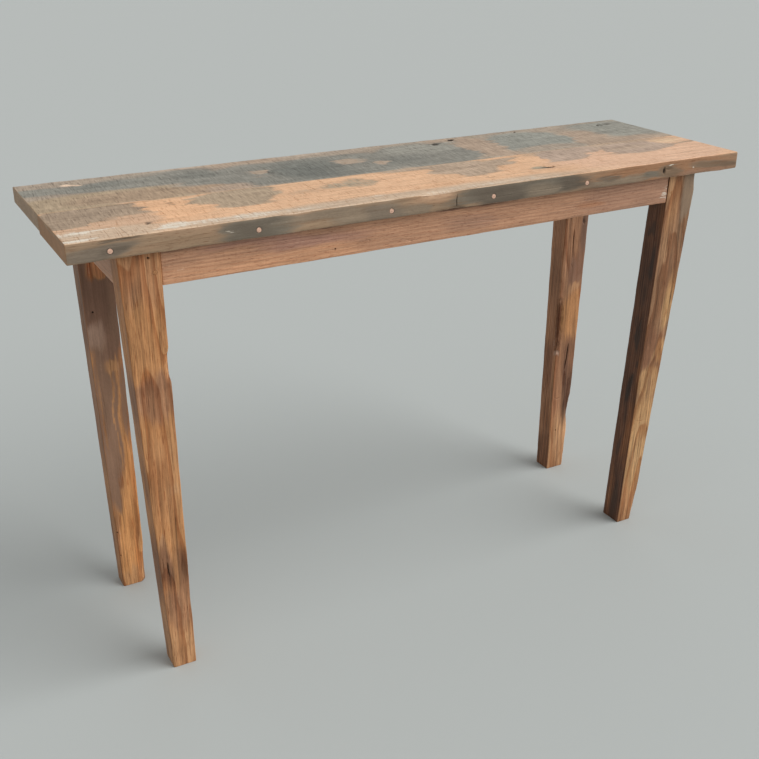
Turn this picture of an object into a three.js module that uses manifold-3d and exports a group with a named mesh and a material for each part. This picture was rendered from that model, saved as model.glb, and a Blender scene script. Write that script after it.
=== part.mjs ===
// A console table of reclaimed wood: a two-board top on four tapered legs, joined by a mortised apron frame.
// Millimetres. +X runs along the table to the right, +Y to the back, +Z up. The origin is on the floor, under
// the middle of the top.
import * as THREE from "three";
import { mergeVertices } from "three/addons/utils/BufferGeometryUtils.js";
import Module from "manifold-3d";

// ---- Driving dimensions ----

const LENGTH = 1210;
const DEPTH = 356;
const HEIGHT = 760;
const GAP = 0.3; // clearance between neighbours that touch on the real table

const top = {
  frontBoardWidth: 170,
  frontBoardThickness: 30,
  rearBoardThickness: 26, // the boards are flush above, so the underside steps at the seam
};

// Each leg is sawn from its own piece of old wood. side and end are how far its outer faces stand in from the
// top's end (X) and from its front or rear edge (Y); width is along X and depth along Y.
const legs = {
  front_left: {
    head: { side: 70, end: 16, width: 63, depth: 41 },
    foot: { side: 98, end: 30, width: 39, depth: 41 },
  },
  front_right: {
    head: { side: 77, end: 16, width: 64.5, depth: 45 },
    foot: { side: 121, end: 38, width: 37.5, depth: 46 },
  },
  rear_left: {
    head: { side: 73, end: 13, width: 59, depth: 43 },
    foot: { side: 87, end: 22, width: 45, depth: 36 },
  },
  rear_right: {
    head: { side: 79, end: 11, width: 61.5, depth: 45 },
    foot: { side: 105, end: 24, width: 46, depth: 40 },
  },
};
const LEG_CHAMFER = 1.6;

const apron = {
  thickness: 20,
  setBack: 2.5, // behind the legs' outer faces
  height: 55,
  frontHeightRight: 51, // the front apron is a little narrower at its right end
  tenonThickness: 10,
  tenonShoulder: 7, // above and below each tenon
  longTenon: 30,
  shortTenon: 22,
};

const peg = { diameter: 6, length: 27, fromShoulder: 10, frontDrop: 33 };
const plug = { diameter: 7.5, length: 20, drop: 18 };
const PLUGS_FROM_LEFT_END = [59.5, 276, 494, 681, 869];

const seamDowel = { diameter: 8, length: 60 };
const SEAM_DOWELS_X = [-480, -240, 0, 240, 480];

const brace = { thickness: 20, height: 40, clearOfLeg: 3 };
const button = { length: 34, width: 28, height: 22, tongue: 9, tongueHeight: 7, belowTop: 9, x: 170 };
const screw = { headDiameter: 8.4, shankDiameter: 4.4, headHeight: 3, topLength: 52, sideLength: 28, buttonLength: 34 };

const ROUND_SIDES = 16;

// ---- Colours ----

const WOODS = {
  top: { color: 0xb08a68, roughness: 0.72 },
  leg: { color: 0x8a6238, roughness: 0.62 },
  apron: { color: 0x9c6a4c, roughness: 0.68 },
  plug: { color: 0xc79d86, roughness: 0.6 },
  inner: { color: 0xb59268, roughness: 0.75 },
};
const STEEL = { color: 0x8d8a80, roughness: 0.4, metalness: 1 };

// ---- Solids: join and cut ----

const wasm = await Module();
wasm.setup();

function toSolid(geometry) {
  const bare = geometry.clone();
  bare.deleteAttribute("normal");
  bare.deleteAttribute("uv");
  const merged = mergeVertices(bare, 1e-4);
  return new wasm.Manifold(
    new wasm.Mesh({
      numProp: 3,
      vertProperties: new Float32Array(merged.attributes.position.array),
      triVerts: new Uint32Array(merged.index.array),
    }),
  );
}

function toGeometry(solid) {
  const mesh = solid.getMesh();
  const geometry = new THREE.BufferGeometry();
  geometry.setAttribute("position", new THREE.BufferAttribute(mesh.vertProperties, 3));
  geometry.setIndex(new THREE.BufferAttribute(mesh.triVerts, 1));
  const flat = geometry.toNonIndexed();
  flat.computeVertexNormals();
  return flat;
}

function cutAll(geometry, cutters) {
  return toGeometry(cutters.reduce((solid, cutter) => solid.subtract(toSolid(cutter)), toSolid(geometry)));
}

function joinAll(geometry, others) {
  return toGeometry(others.reduce((solid, other) => solid.add(toSolid(other)), toSolid(geometry)));
}

// ---- Basic shapes ----

// A box between two corners, grown by grow on every side.
function box([x0, y0, z0], [x1, y1, z1], grow = 0) {
  const geometry = new THREE.BoxGeometry(x1 - x0 + 2 * grow, y1 - y0 + 2 * grow, z1 - z0 + 2 * grow);
  return geometry.translate((x0 + x1) / 2, (y0 + y1) / 2, (z0 + z1) / 2);
}

// A rod from a point along a unit direction.
function rod(diameter, length, from, direction) {
  const geometry = new THREE.CylinderGeometry(diameter / 2, diameter / 2, length, ROUND_SIDES);
  return aim(geometry.translate(0, length / 2, 0), from, direction);
}

// Turns a shape built up +Y to point along direction, and starts it at from.
function aim(geometry, from, direction) {
  const turn = new THREE.Quaternion().setFromUnitVectors(new THREE.Vector3(0, 1, 0), direction);
  return geometry.applyQuaternion(turn).translate(from.x, from.y, from.z);
}

// A countersunk wood screw, its head's flat at from. grow widens it into the hole it sits in.
function screwShape(length, from, direction, grow = 0) {
  const head = screw.headDiameter / 2 + grow;
  const shank = screw.shankDiameter / 2 + grow;
  const tip = 1;
  const profile = [
    [0, -grow],
    [head, -grow],
    [head, 0.4 + grow],
    [shank, screw.headHeight + grow],
    [shank, length - 5],
    [tip, length + grow],
    [0, length + grow],
  ].map(([r, y]) => new THREE.Vector2(r, y));
  return aim(new THREE.LatheGeometry(profile, ROUND_SIDES), from, direction);
}

const along = {
  right: new THREE.Vector3(1, 0, 0),
  left: new THREE.Vector3(-1, 0, 0),
  back: new THREE.Vector3(0, 1, 0),
  front: new THREE.Vector3(0, -1, 0),
  up: new THREE.Vector3(0, 0, 1),
};

// ---- Where things are ----

const frontEdge = -DEPTH / 2;
const rearEdge = DEPTH / 2;
const seam = frontEdge + top.frontBoardWidth;
const underFront = HEIGHT - top.frontBoardThickness;
const underRear = HEIGHT - top.rearBoardThickness;

const isLeft = (name) => name.endsWith("left");
const isFront = (name) => name.startsWith("front");
const undersideOver = (name) => (isFront(name) ? underFront : underRear);

// The four faces of a leg at height z. inner faces look at the middle of the table.
function legAt(name, z) {
  const { head, foot } = legs[name];
  const t = z / undersideOver(name);
  const mix = (key) => THREE.MathUtils.lerp(foot[key], head[key], t);
  const sideX = isLeft(name) ? -1 : 1;
  const sideY = isFront(name) ? -1 : 1;
  const outerX = sideX * (LENGTH / 2 - mix("side"));
  const outerY = sideY * (DEPTH / 2 - mix("end"));
  return {
    outerX,
    outerY,
    innerX: outerX - sideX * mix("width"),
    innerY: outerY - sideY * mix("depth"),
  };
}

// ---- Top ----

function topBoard(nearY, farY, under) {
  const edge = new THREE.Shape();
  const arris = 1;
  edge.moveTo(nearY + arris, under);
  edge.lineTo(farY - arris, under);
  edge.lineTo(farY, under + arris);
  edge.lineTo(farY, HEIGHT - arris);
  edge.lineTo(farY - arris, HEIGHT);
  edge.lineTo(nearY + arris, HEIGHT);
  edge.lineTo(nearY, HEIGHT - arris);
  edge.lineTo(nearY, under + arris);
  return extrudeAlongX(edge, -LENGTH / 2, LENGTH / 2);
}

// A Shape drawn in (Y, Z), pulled along X.
function extrudeAlongX(shape, x0, x1) {
  const geometry = new THREE.ExtrudeGeometry(shape, { depth: x1 - x0, bevelEnabled: false });
  const basis = new THREE.Matrix4().makeBasis(along.back, along.up, along.right);
  return geometry.applyMatrix4(basis).translate(x0, 0, 0);
}

// A Shape drawn in (X, Z), pulled along Y.
function extrudeAlongY(shape, y0, y1) {
  const geometry = new THREE.ExtrudeGeometry(shape, { depth: y1 - y0, bevelEnabled: false });
  const basis = new THREE.Matrix4().makeBasis(along.right, along.up, along.front);
  return geometry.applyMatrix4(basis).translate(0, y1, 0);
}

// A Shape drawn in (X, Y), pulled up.
function extrudeUp(shape, z0, z1) {
  return new THREE.ExtrudeGeometry(shape, { depth: z1 - z0, bevelEnabled: false }).translate(0, 0, z0);
}

function outline(points) {
  return new THREE.Shape(points.map(([a, b]) => new THREE.Vector2(a, b)));
}

const plugs = PLUGS_FROM_LEFT_END.map((fromLeft, i) => {
  const mouth = new THREE.Vector3(-LENGTH / 2 + fromLeft, frontEdge, HEIGHT - plug.drop);
  return {
    name: `edge_plug_${i + 1}`,
    shape: rod(plug.diameter, plug.length, mouth, along.back),
    hole: rod(plug.diameter + 2 * GAP, plug.length + GAP, mouth, along.back),
  };
});

const dowelHeight = HEIGHT - top.rearBoardThickness / 2;
const seamDowels = SEAM_DOWELS_X.map((x, i) => {
  const start = new THREE.Vector3(x, seam - seamDowel.length / 2, dowelHeight);
  const holeStart = start.clone().addScaledVector(along.back, -GAP);
  return {
    name: `seam_dowel_${i + 1}`,
    shape: rod(seamDowel.diameter, seamDowel.length, start, along.back),
    hole: rod(seamDowel.diameter + 2 * GAP, seamDowel.length + 2 * GAP, holeStart, along.back),
  };
});

// ---- Legs ----

// A chamfered post whose plan follows the leg's faces from head to foot.
function legShape(name) {
  const height = undersideOver(name) - GAP;
  const c = LEG_CHAMFER;
  const plan = new THREE.Shape();
  const [w, d] = [legs[name].head.width, legs[name].head.depth];
  plan.moveTo(c, 0);
  plan.lineTo(w - c, 0);
  plan.lineTo(w, c);
  plan.lineTo(w, d - c);
  plan.lineTo(w - c, d);
  plan.lineTo(c, d);
  plan.lineTo(0, d - c);
  plan.lineTo(0, c);
  const post = extrudeUp(plan, 0, height);
  const place = post.attributes.position;
  for (let i = 0; i < place.count; i++) {
    const z = place.getZ(i);
    const face = legAt(name, z);
    const lowX = Math.min(face.outerX, face.innerX);
    const highX = Math.max(face.outerX, face.innerX);
    const lowY = Math.min(face.outerY, face.innerY);
    const highY = Math.max(face.outerY, face.innerY);
    place.setX(i, THREE.MathUtils.lerp(lowX, highX, place.getX(i) / w));
    place.setY(i, THREE.MathUtils.lerp(lowY, highY, place.getY(i) / d));
  }
  return post;
}

// ---- Aprons ----

const outerFront = legAt("front_left", underFront).outerY + apron.setBack;
const outerRear = legAt("rear_left", underRear).outerY - apron.setBack;
const outerLeft = legAt("front_left", underFront).outerX + apron.setBack;
const outerRight = legAt("front_right", underFront).outerX - apron.setBack;

// Where each apron lies: low and high are its faces' places across its thickness.
const aprons = {
  front: { low: outerFront, high: outerFront + apron.thickness, under: underFront },
  rear: { low: outerRear - apron.thickness, high: outerRear, under: underRear },
  left: { low: outerLeft, high: outerLeft + apron.thickness },
  right: { low: outerRight - apron.thickness, high: outerRight },
};

// The tenon across an apron's thickness, from low to high.
function tenonSpan({ low, high }) {
  const middle = (low + high) / 2;
  return [middle - apron.tenonThickness / 2, middle + apron.tenonThickness / 2];
}

// A long apron with its shoulders scribed to the sloping inner faces of the two legs.
function longApron(key, leftLeg, rightLeg, heightRight) {
  const { low, high, under } = aprons[key];
  const topZ = under - GAP;
  const bottomLeft = under - apron.height;
  const bottomRight = under - heightRight;
  const board = outline([
    [legAt(leftLeg, bottomLeft).innerX + GAP, bottomLeft],
    [legAt(rightLeg, bottomRight).innerX - GAP, bottomRight],
    [legAt(rightLeg, topZ).innerX - GAP, topZ],
    [legAt(leftLeg, topZ).innerX + GAP, topZ],
  ]);
  return joinAll(extrudeAlongY(board, low, high), longTenons(key, leftLeg, rightLeg));
}

function longTenons(key, leftLeg, rightLeg, grow = 0) {
  const { under } = aprons[key];
  const [y0, y1] = tenonSpan(aprons[key]);
  const z0 = under - apron.height + apron.tenonShoulder + 2;
  const z1 = under - apron.tenonShoulder;
  const root = 5;
  return [
    [leftLeg, -1],
    [rightLeg, 1],
  ].map(([leg, side]) => {
    const shoulder = legAt(leg, under).innerX;
    const inside = shoulder - side * root;
    const end = shoulder + side * apron.longTenon;
    return box([Math.min(inside, end), y0, z0], [Math.max(inside, end), y1, z1], grow);
  });
}

// A side apron, stepped on top where the front board is thicker than the rear one.
function sideApron(key, frontLeg, rearLeg) {
  const { low, high } = aprons[key];
  const bottom = underFront - apron.height;
  const frontTop = underFront - GAP;
  const rearTop = underRear - GAP;
  const board = outline([
    [legAt(frontLeg, bottom).innerY + GAP, bottom],
    [legAt(rearLeg, bottom).innerY - GAP, bottom],
    [legAt(rearLeg, rearTop).innerY - GAP, rearTop],
    [seam + 1, rearTop],
    [seam + 1, frontTop],
    [legAt(frontLeg, frontTop).innerY + GAP, frontTop],
  ]);
  return joinAll(extrudeAlongX(board, low, high), sideTenons(key, frontLeg, rearLeg));
}

function sideTenons(key, frontLeg, rearLeg, grow = 0) {
  const [x0, x1] = tenonSpan(aprons[key]);
  const z0 = underFront - apron.height + apron.tenonShoulder;
  const z1 = underFront - apron.tenonShoulder;
  const root = 5;
  return [
    [frontLeg, -1],
    [rearLeg, 1],
  ].map(([leg, side]) => {
    const shoulder = legAt(leg, underFront).innerY;
    const inside = shoulder - side * root;
    const end = shoulder + side * apron.shortTenon;
    return box([x0, Math.min(inside, end), z0], [x1, Math.max(inside, end), z1], grow);
  });
}

// The mortises that a leg holds: its two aprons' tenons with clearance.
function mortises(name) {
  const sideKey = isLeft(name) ? "left" : "right";
  const longKey = isFront(name) ? "front" : "rear";
  const long = longTenons(longKey, `${longKey}_left`, `${longKey}_right`, GAP);
  const side = sideTenons(sideKey, `front_${sideKey}`, `rear_${sideKey}`, GAP);
  return [long[isLeft(name) ? 0 : 1], side[isFront(name) ? 0 : 1]];
}

// ---- Pegs through the long aprons' tenons ----

const pegs = Object.keys(legs).map((name) => {
  const sideX = isLeft(name) ? -1 : 1;
  const inward = isFront(name) ? along.back : along.front;
  const z = underFront - peg.frontDrop;
  const face = legAt(name, z);
  const from = new THREE.Vector3(face.innerX + sideX * peg.fromShoulder, face.outerY, z);
  const holeStart = from.clone().addScaledVector(inward, -2);
  return {
    leg: name,
    name: `${name}_peg`,
    shape: rod(peg.diameter, peg.length, from, inward),
    hole: rod(peg.diameter + 2 * GAP, peg.length + 2 + GAP, holeStart, inward),
  };
});

// ---- Corner braces ----

// A diagonal brace between the inner faces of a long and a side apron, just clear of the leg's inner corner.
function cornerBrace(name) {
  const sideX = isLeft(name) ? -1 : 1;
  const sideY = isFront(name) ? -1 : 1;
  const longInner = isFront(name) ? aprons.front.high + GAP : aprons.rear.low - GAP;
  const sideInner = isLeft(name) ? aprons.left.high + GAP : aprons.right.low - GAP;
  const corner = legAt(name, underFront);
  // Along the diagonal, sideX * x + sideY * y grows towards the leg.
  const outerSum = sideX * corner.innerX + sideY * corner.innerY - brace.clearOfLeg * Math.SQRT2;
  const innerSum = outerSum - brace.thickness * Math.SQRT2;
  const onLong = (sum) => [sideX * (sum - sideY * longInner), longInner];
  const onSide = (sum) => [sideInner, sideY * (sum - sideX * sideInner)];
  const points = [onLong(innerSum), onLong(outerSum), onSide(outerSum), onSide(innerSum)];
  if (sideX * sideY > 0) points.reverse();
  const z1 = undersideOver(name) - GAP;
  const z0 = underFront - brace.height;
  const shape = extrudeUp(outline(points), z0, z1);

  const middle = [0, 1].map((axis) => points.reduce((sum, point) => sum + point[axis], 0) / points.length);
  const towardsLeg = new THREE.Vector3(sideX, sideY, 0).normalize();
  const screws = [
    {
      name: `${name}_brace_top_screw`,
      args: [screw.topLength, new THREE.Vector3(middle[0], middle[1], z0), along.up],
    },
  ];
  const ends = { long: onLong((innerSum + outerSum) / 2), side: onSide((innerSum + outerSum) / 2) };
  for (const [end, [x, y]] of Object.entries(ends)) {
    const z = (z0 + z1) / 2;
    const from = new THREE.Vector3(x, y, z).addScaledVector(towardsLeg, -brace.thickness / 2);
    screws.push({ name: `${name}_brace_${end}_screw`, args: [screw.sideLength, from, towardsLeg] });
  }
  return { name: `${name}_corner_brace`, shape, screws };
}

const braces = Object.keys(legs).map(cornerBrace);

// ---- Buttons ----

// A wooden button: a block under the top with a tongue in a slot in the long apron's inner face.
function topButton(name, key, x) {
  const side = key === "front" ? 1 : -1; // the direction from the apron to the middle of the table
  const under = aprons[key].under;
  const face = key === "front" ? aprons.front.high : aprons.rear.low;
  const span = (a, b) => [Math.min(a, b), Math.max(a, b)];
  const [y0, y1] = span(face + side * GAP, face + side * button.width);
  const z1 = under - GAP;
  const block = box([x - button.length / 2, y0, z1 - button.height], [x + button.length / 2, y1, z1]);
  const [t0, t1] = span(face - side * button.tongue, face + side * 2);
  const tongueTop = under - button.belowTop;
  const low = [x - button.length / 2 + 1, t0, tongueTop - button.tongueHeight];
  const high = [x + button.length / 2 - 1, t1, tongueTop];
  const from = new THREE.Vector3(x, (y0 + y1) / 2, z1 - button.height);
  return {
    name,
    key,
    shape: joinAll(block, [box(low, high)]),
    slot: box(low, high, GAP),
    screws: [{ name: `${name}_screw`, args: [screw.buttonLength, from, along.up] }],
  };
}

const buttons = [
  topButton("front_left_button", "front", -button.x),
  topButton("front_right_button", "front", button.x),
  topButton("rear_left_button", "rear", -button.x),
  topButton("rear_right_button", "rear", button.x),
];

// ---- Assembly ----

const table = new THREE.Group();

function addPiece(name, geometry, finish) {
  const mesh = new THREE.Mesh(geometry, new THREE.MeshStandardMaterial({ metalness: 0, ...finish }));
  mesh.name = name;
  table.add(mesh);
}

const screwHole = ({ args }) => screwShape(...args, GAP);
const holes = (items) => items.map((item) => item.hole);
const screwsOf = (items) => items.flatMap((item) => item.screws);

const topHoles = [...screwsOf(braces), ...screwsOf(buttons)]
  .filter(({ args }) => args[2] === along.up)
  .map(screwHole);

const frontBoard = topBoard(frontEdge, seam - GAP / 2, underFront);
const rearBoard = topBoard(seam + GAP / 2, rearEdge, underRear);
addPiece("top_front_board", cutAll(frontBoard, [...holes(plugs), ...holes(seamDowels), ...topHoles]), WOODS.top);
addPiece("top_rear_board", cutAll(rearBoard, [...holes(seamDowels), ...topHoles]), WOODS.top);
for (const { name, shape } of plugs) addPiece(name, shape, WOODS.plug);
for (const { name, shape } of seamDowels) addPiece(name, shape, WOODS.inner);

for (const name of Object.keys(legs)) {
  const pegHole = pegs.find(({ leg }) => leg === name).hole;
  addPiece(`${name}_leg`, cutAll(legShape(name), [...mortises(name), pegHole]), WOODS.leg);
}

const longHoles = [...holes(pegs), ...screwsOf(braces).map(screwHole)];
const slots = (key) => buttons.filter((item) => item.key === key).map(({ slot }) => slot);
const frontApron = longApron("front", "front_left", "front_right", apron.frontHeightRight);
const rearApron = longApron("rear", "rear_left", "rear_right", apron.height);
addPiece("front_apron", cutAll(frontApron, [...longHoles, ...slots("front")]), WOODS.apron);
addPiece("rear_apron", cutAll(rearApron, [...longHoles, ...slots("rear")]), WOODS.apron);

const sideHoles = screwsOf(braces).map(screwHole);
addPiece("left_apron", cutAll(sideApron("left", "front_left", "rear_left"), sideHoles), WOODS.apron);
addPiece("right_apron", cutAll(sideApron("right", "front_right", "rear_right"), sideHoles), WOODS.apron);
for (const { name, shape } of pegs) addPiece(name, shape, WOODS.leg);

for (const { name, shape, screws } of [...braces, ...buttons]) {
  addPiece(name, cutAll(shape, screws.map(screwHole)), WOODS.inner);
  for (const { name: screwName, args } of screws) addPiece(screwName, screwShape(...args), STEEL);
}

export default table;
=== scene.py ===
# %% [markdown]
# # A console table of reclaimed wood
#
# The table is a two-board plank top on four tapered legs. Its joints, sizes and screws come from a CAD frame
# that is loaded first and keeps its shape. This script gives each piece its look: old saw marks, cracks, knots
# and the patchwork of grey weathered wood and freshly planed orange wood.

# %% Load the frame
import math
from types import SimpleNamespace
import bmesh
import bpy
import numpy as np
from mathutils import Matrix, Vector, noise


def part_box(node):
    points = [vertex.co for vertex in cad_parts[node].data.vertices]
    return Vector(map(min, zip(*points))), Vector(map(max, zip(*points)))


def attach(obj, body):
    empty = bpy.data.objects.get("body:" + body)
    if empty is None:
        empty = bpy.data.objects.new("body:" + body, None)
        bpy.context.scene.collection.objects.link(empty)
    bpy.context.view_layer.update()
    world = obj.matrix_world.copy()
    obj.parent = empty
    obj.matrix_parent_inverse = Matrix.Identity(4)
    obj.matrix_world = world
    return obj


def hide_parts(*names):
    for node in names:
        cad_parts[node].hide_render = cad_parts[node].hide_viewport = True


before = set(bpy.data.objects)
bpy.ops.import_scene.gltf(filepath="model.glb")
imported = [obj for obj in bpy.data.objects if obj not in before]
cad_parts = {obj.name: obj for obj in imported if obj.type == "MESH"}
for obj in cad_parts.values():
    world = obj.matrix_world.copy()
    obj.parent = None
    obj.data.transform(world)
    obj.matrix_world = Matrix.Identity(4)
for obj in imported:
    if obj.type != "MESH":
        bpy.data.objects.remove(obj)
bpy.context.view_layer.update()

# %% [markdown]
# ## The camera
#
# A 50 mm lens, a little above the top and off its left end, turned to the right and tilted down. Setting the
# camera by its place and two angles is easier to read and to repeat than aiming it at an object.

# %% Camera
LENS = 50.12
CAMERA_PLACE = (-0.872, -1.561, 1.173)
CAMERA_TURN = 0.4911
CAMERA_TILT = 0.4246

camera_data = bpy.data.cameras.new("camera")
camera_data.lens = LENS
camera_data.sensor_width = 36.0
camera = bpy.data.objects.new("camera", camera_data)
camera.location = CAMERA_PLACE
camera.rotation_euler = (math.pi / 2 - CAMERA_TILT, 0.0, -CAMERA_TURN)
bpy.context.collection.objects.link(camera)
bpy.context.scene.camera = camera
bpy.context.scene.view_settings.view_transform = "Standard"
print("the camera stands", CAMERA_PLACE[2], "metres above the floor")

# %% [markdown]
# ## Floor and light
#
# A plain pale floor and one wide, soft sun from the front right, like a large window. Its shadows fall to the
# left, and the left faces of the legs are the dark ones. The world gives the rest of the light.


# %% Stage
WARM_WHITE = (1.0, 0.985, 0.96)


def srgb(red, green, blue):
    """A colour from 0-255 display numbers, as the linear values that shaders use."""
    def linear(c):
        c /= 255
        return c / 12.92 if c <= 0.04045 else ((c + 0.055) / 1.055) ** 2.4
    return (linear(red), linear(green), linear(blue), 1.0)


def finished(bm, name, material=None):
    """Turns a bmesh into an object at the origin, with smooth faces."""
    mesh = bpy.data.meshes.new(name)
    bm.to_mesh(mesh)
    bm.free()
    for face in mesh.polygons:
        face.use_smooth = True
    if material:
        mesh.materials.append(material)
    obj = bpy.data.objects.new(name, mesh)
    bpy.context.collection.objects.link(obj)
    return obj


floor_mesh = bmesh.new()
bmesh.ops.create_grid(floor_mesh, x_segments=1, y_segments=1, size=60.0)
floor_paint = bpy.data.materials.new("floor")
floor_paint.use_nodes = True
floor_shader = floor_paint.node_tree.nodes["Principled BSDF"]
floor_shader.inputs["Base Color"].default_value = srgb(178, 184, 184)
floor_shader.inputs["Roughness"].default_value = 0.7
floor = finished(floor_mesh, "floor", floor_paint)

sun_data = bpy.data.lights.new("window", "SUN")
sun_data.energy = 2.6
sun_data.angle = math.radians(56)
sun_data.color = WARM_WHITE
sun = bpy.data.objects.new("window", sun_data)
sun.rotation_euler = Vector((3.3, -2.4, 3.2)).to_track_quat("Z", "Y").to_euler()
bpy.context.collection.objects.link(sun)

world = bpy.data.worlds.new("room")
world.use_nodes = True
sky = world.node_tree.nodes["Background"]
sky.inputs["Color"].default_value = (*WARM_WHITE, 1.0)
sky.inputs["Strength"].default_value = 0.52
bpy.context.scene.world = world
print("sun", sun_data.energy, "and sky", sky.inputs["Strength"].default_value)

# %% [markdown]
# ## Tools for shader trees
#
# A shader tree is easier to read as short sums than as a list of nodes and links. Each helper below adds one
# node, or a few that belong together, links its inputs and returns its output, so a tree reads from top to
# bottom like arithmetic. Two more make a node group and put a group to use.


# %% Node helpers
def add(tree, kind, inputs=None, out=0, **settings):
    """Adds a shader node. inputs gives its sockets values, or other nodes' outputs to link."""
    node = tree.nodes.new("ShaderNode" + kind)
    for key, value in settings.items():
        setattr(node, key, value)
    for key, value in (inputs or {}).items():
        if isinstance(value, bpy.types.NodeSocket):
            tree.links.new(value, node.inputs[key])
        else:
            node.inputs[key].default_value = value
    return node.outputs[out]


def calc(tree, operation, a, b=0.0, c=0.0, clamp=False):
    return add(tree, "Math", {0: a, 1: b, 2: c}, operation=operation, use_clamp=clamp)


def vector_calc(tree, operation, a, b=(0, 0, 0), out=0):
    return add(tree, "VectorMath", {0: a, 1: b}, out=out, operation=operation)


def mix(tree, factor, a, b, blend="MIX"):
    return add(tree, "Mix", {0: factor, 6: a, 7: b}, out=2, data_type="RGBA", blend_type=blend)


def darkened(tree, colour, mask, share, tint):
    """Multiplies a colour by a tint where the mask lies, as far as share says."""
    return mix(tree, calc(tree, "MULTIPLY", mask, share), colour, tint, "MULTIPLY")


def scaled(tree, vector, amount):
    return add(tree, "VectorMath", {0: vector, "Scale": amount}, operation="SCALE")


def swayed_by(tree, base, *waves):
    """Adds noises to base. Each comes with an amount and counts from its middle value, 0.5."""
    for wave, amount in waves:
        base = calc(tree, "MULTIPLY_ADD", calc(tree, "SUBTRACT", wave, 0.5), amount, base)
    return base


def span(tree, value, low, high, to_low=0.0, to_high=1.0, smooth=True):
    """Maps value from low..high to to_low..to_high, and holds it there outside."""
    kind = "SMOOTHSTEP" if smooth else "LINEAR"
    inputs = {0: value, 1: low, 2: high, 3: to_low, 4: to_high}
    return add(tree, "MapRange", inputs, interpolation_type=kind)


def noise_value(tree, vector, scale=1.0, detail=3.0, roughness=0.55, out=0):
    inputs = {"Vector": vector, "Scale": scale, "Detail": detail, "Roughness": roughness}
    return add(tree, "TexNoise", inputs, out=out)


def new_group(name, inputs, outputs):
    """A node group with named sockets. Returns it with its inner input and output sockets."""
    tree = bpy.data.node_groups.new(name, "ShaderNodeTree")
    for label, default in inputs.items():
        kind = "NodeSocketVector" if isinstance(default, tuple) else "NodeSocketFloat"
        socket = tree.interface.new_socket(label, in_out="INPUT", socket_type=kind)
        socket.default_value = default
    for label, kind in outputs.items():
        tree.interface.new_socket(label, in_out="OUTPUT", socket_type="NodeSocket" + kind)
    inside = tree.nodes.new("NodeGroupInput").outputs
    outside = tree.nodes.new("NodeGroupOutput").inputs
    return tree, inside, outside


def use(tree, group, **inputs):
    """Places a group in a tree. Sockets are given with _ for a space in their name."""
    node = tree.nodes.new("ShaderNodeGroup")
    node.node_tree = group
    for key, value in inputs.items():
        socket = node.inputs[key.replace("_", " ")]
        if isinstance(value, bpy.types.NodeSocket):
            tree.links.new(value, socket)
        else:
            socket.default_value = value
    return node.outputs


# %% [markdown]
# ## The shared wood effects
#
# Every wood piece carries an attribute called "place": millimetres along the grain, across it, and through
# the thickness, measured in the timber that the piece was cut from. The groups read that, so the taper of a
# leg cuts through the grain as a saw does, and one fibre pattern serves boards and legs alike.
#
# Fibres come first: long thin streaks, broad bands, and the short dark pores of open-grained wood. All three
# are noise in cells that are long along the grain and narrow across it.


# %% Fibres group
fibre_group, get, put = new_group(
    "Fibres",
    {"Place": (0.0, 0.0, 0.0), "Length": 60.0, "Width": 1.6},
    {"Streak": "Float", "Broad": "Float", "Pore": "Float"},
)


def stretched(tree, place, length, width):
    """The place divided by a grain-shaped cell: long along the grain, narrow across it."""
    return vector_calc(tree, "DIVIDE", place, add(tree, "CombineXYZ", {0: length, 1: width, 2: width}))


fine = stretched(fibre_group, get["Place"], get["Length"], get["Width"])
fibre_group.links.new(noise_value(fibre_group, fine, 1.0, 4.0, 0.65), put["Streak"])
fibre_group.links.new(noise_value(fibre_group, fine, 0.42, 4.0, 0.62), put["Broad"])
short = vector_calc(fibre_group, "MULTIPLY", fine, (4.5, 1.7, 1.7))
pore_noise = noise_value(fibre_group, short, 1.0, 1.0, 0.5)
fibre_group.links.new(span(fibre_group, pore_noise, 0.60, 0.72), put["Pore"])

# %% [markdown]
# ## Growth rings
#
# A tree's rings lie round its pith. The group measures how far a point is from a pith line, with a slow sway,
# and repeats a band that darkens slowly and ends sharply, as late wood does. A board that cuts the rings at a
# slant shows them as arches.

# %% Rings group
ring_group, get, put = new_group(
    "Rings",
    {"Place": (0.0, 0.0, 0.0), "Pith": (0.0, 0.0, -60.0), "Ring Width": 5.0, "Wander": 14.0},
    {"Band": "Float"},
)
slow = vector_calc(ring_group, "DIVIDE", get["Place"], (260, 55, 55))
sway = vector_calc(ring_group, "SUBTRACT", noise_value(ring_group, slow, 1.0, 2.0, out=1), (0.5, 0.5, 0.5))
swayed = vector_calc(ring_group, "SUBTRACT", get["Place"], get["Pith"])
swayed = vector_calc(ring_group, "ADD", swayed, scaled(ring_group, sway, get["Wander"]))
across = vector_calc(ring_group, "MULTIPLY", swayed, (0, 1, 1))
radius = calc(ring_group, "DIVIDE", vector_calc(ring_group, "LENGTH", across, out=1), get["Ring Width"])
season = calc(ring_group, "FRACT", radius)
late = span(ring_group, season, 0.35, 0.93)
early = span(ring_group, season, 0.93, 1.0, 1.0, 0.0)
ring_group.links.new(calc(ring_group, "MULTIPLY", late, early), put["Band"])

# %% [markdown]
# ## Saw marks
#
# The old mill's blade left strokes almost square to the grain. The strokes are noise that changes fast along
# the board and slowly across it. One output is a soft ripple and the other picks out only its sharp lines.

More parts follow.
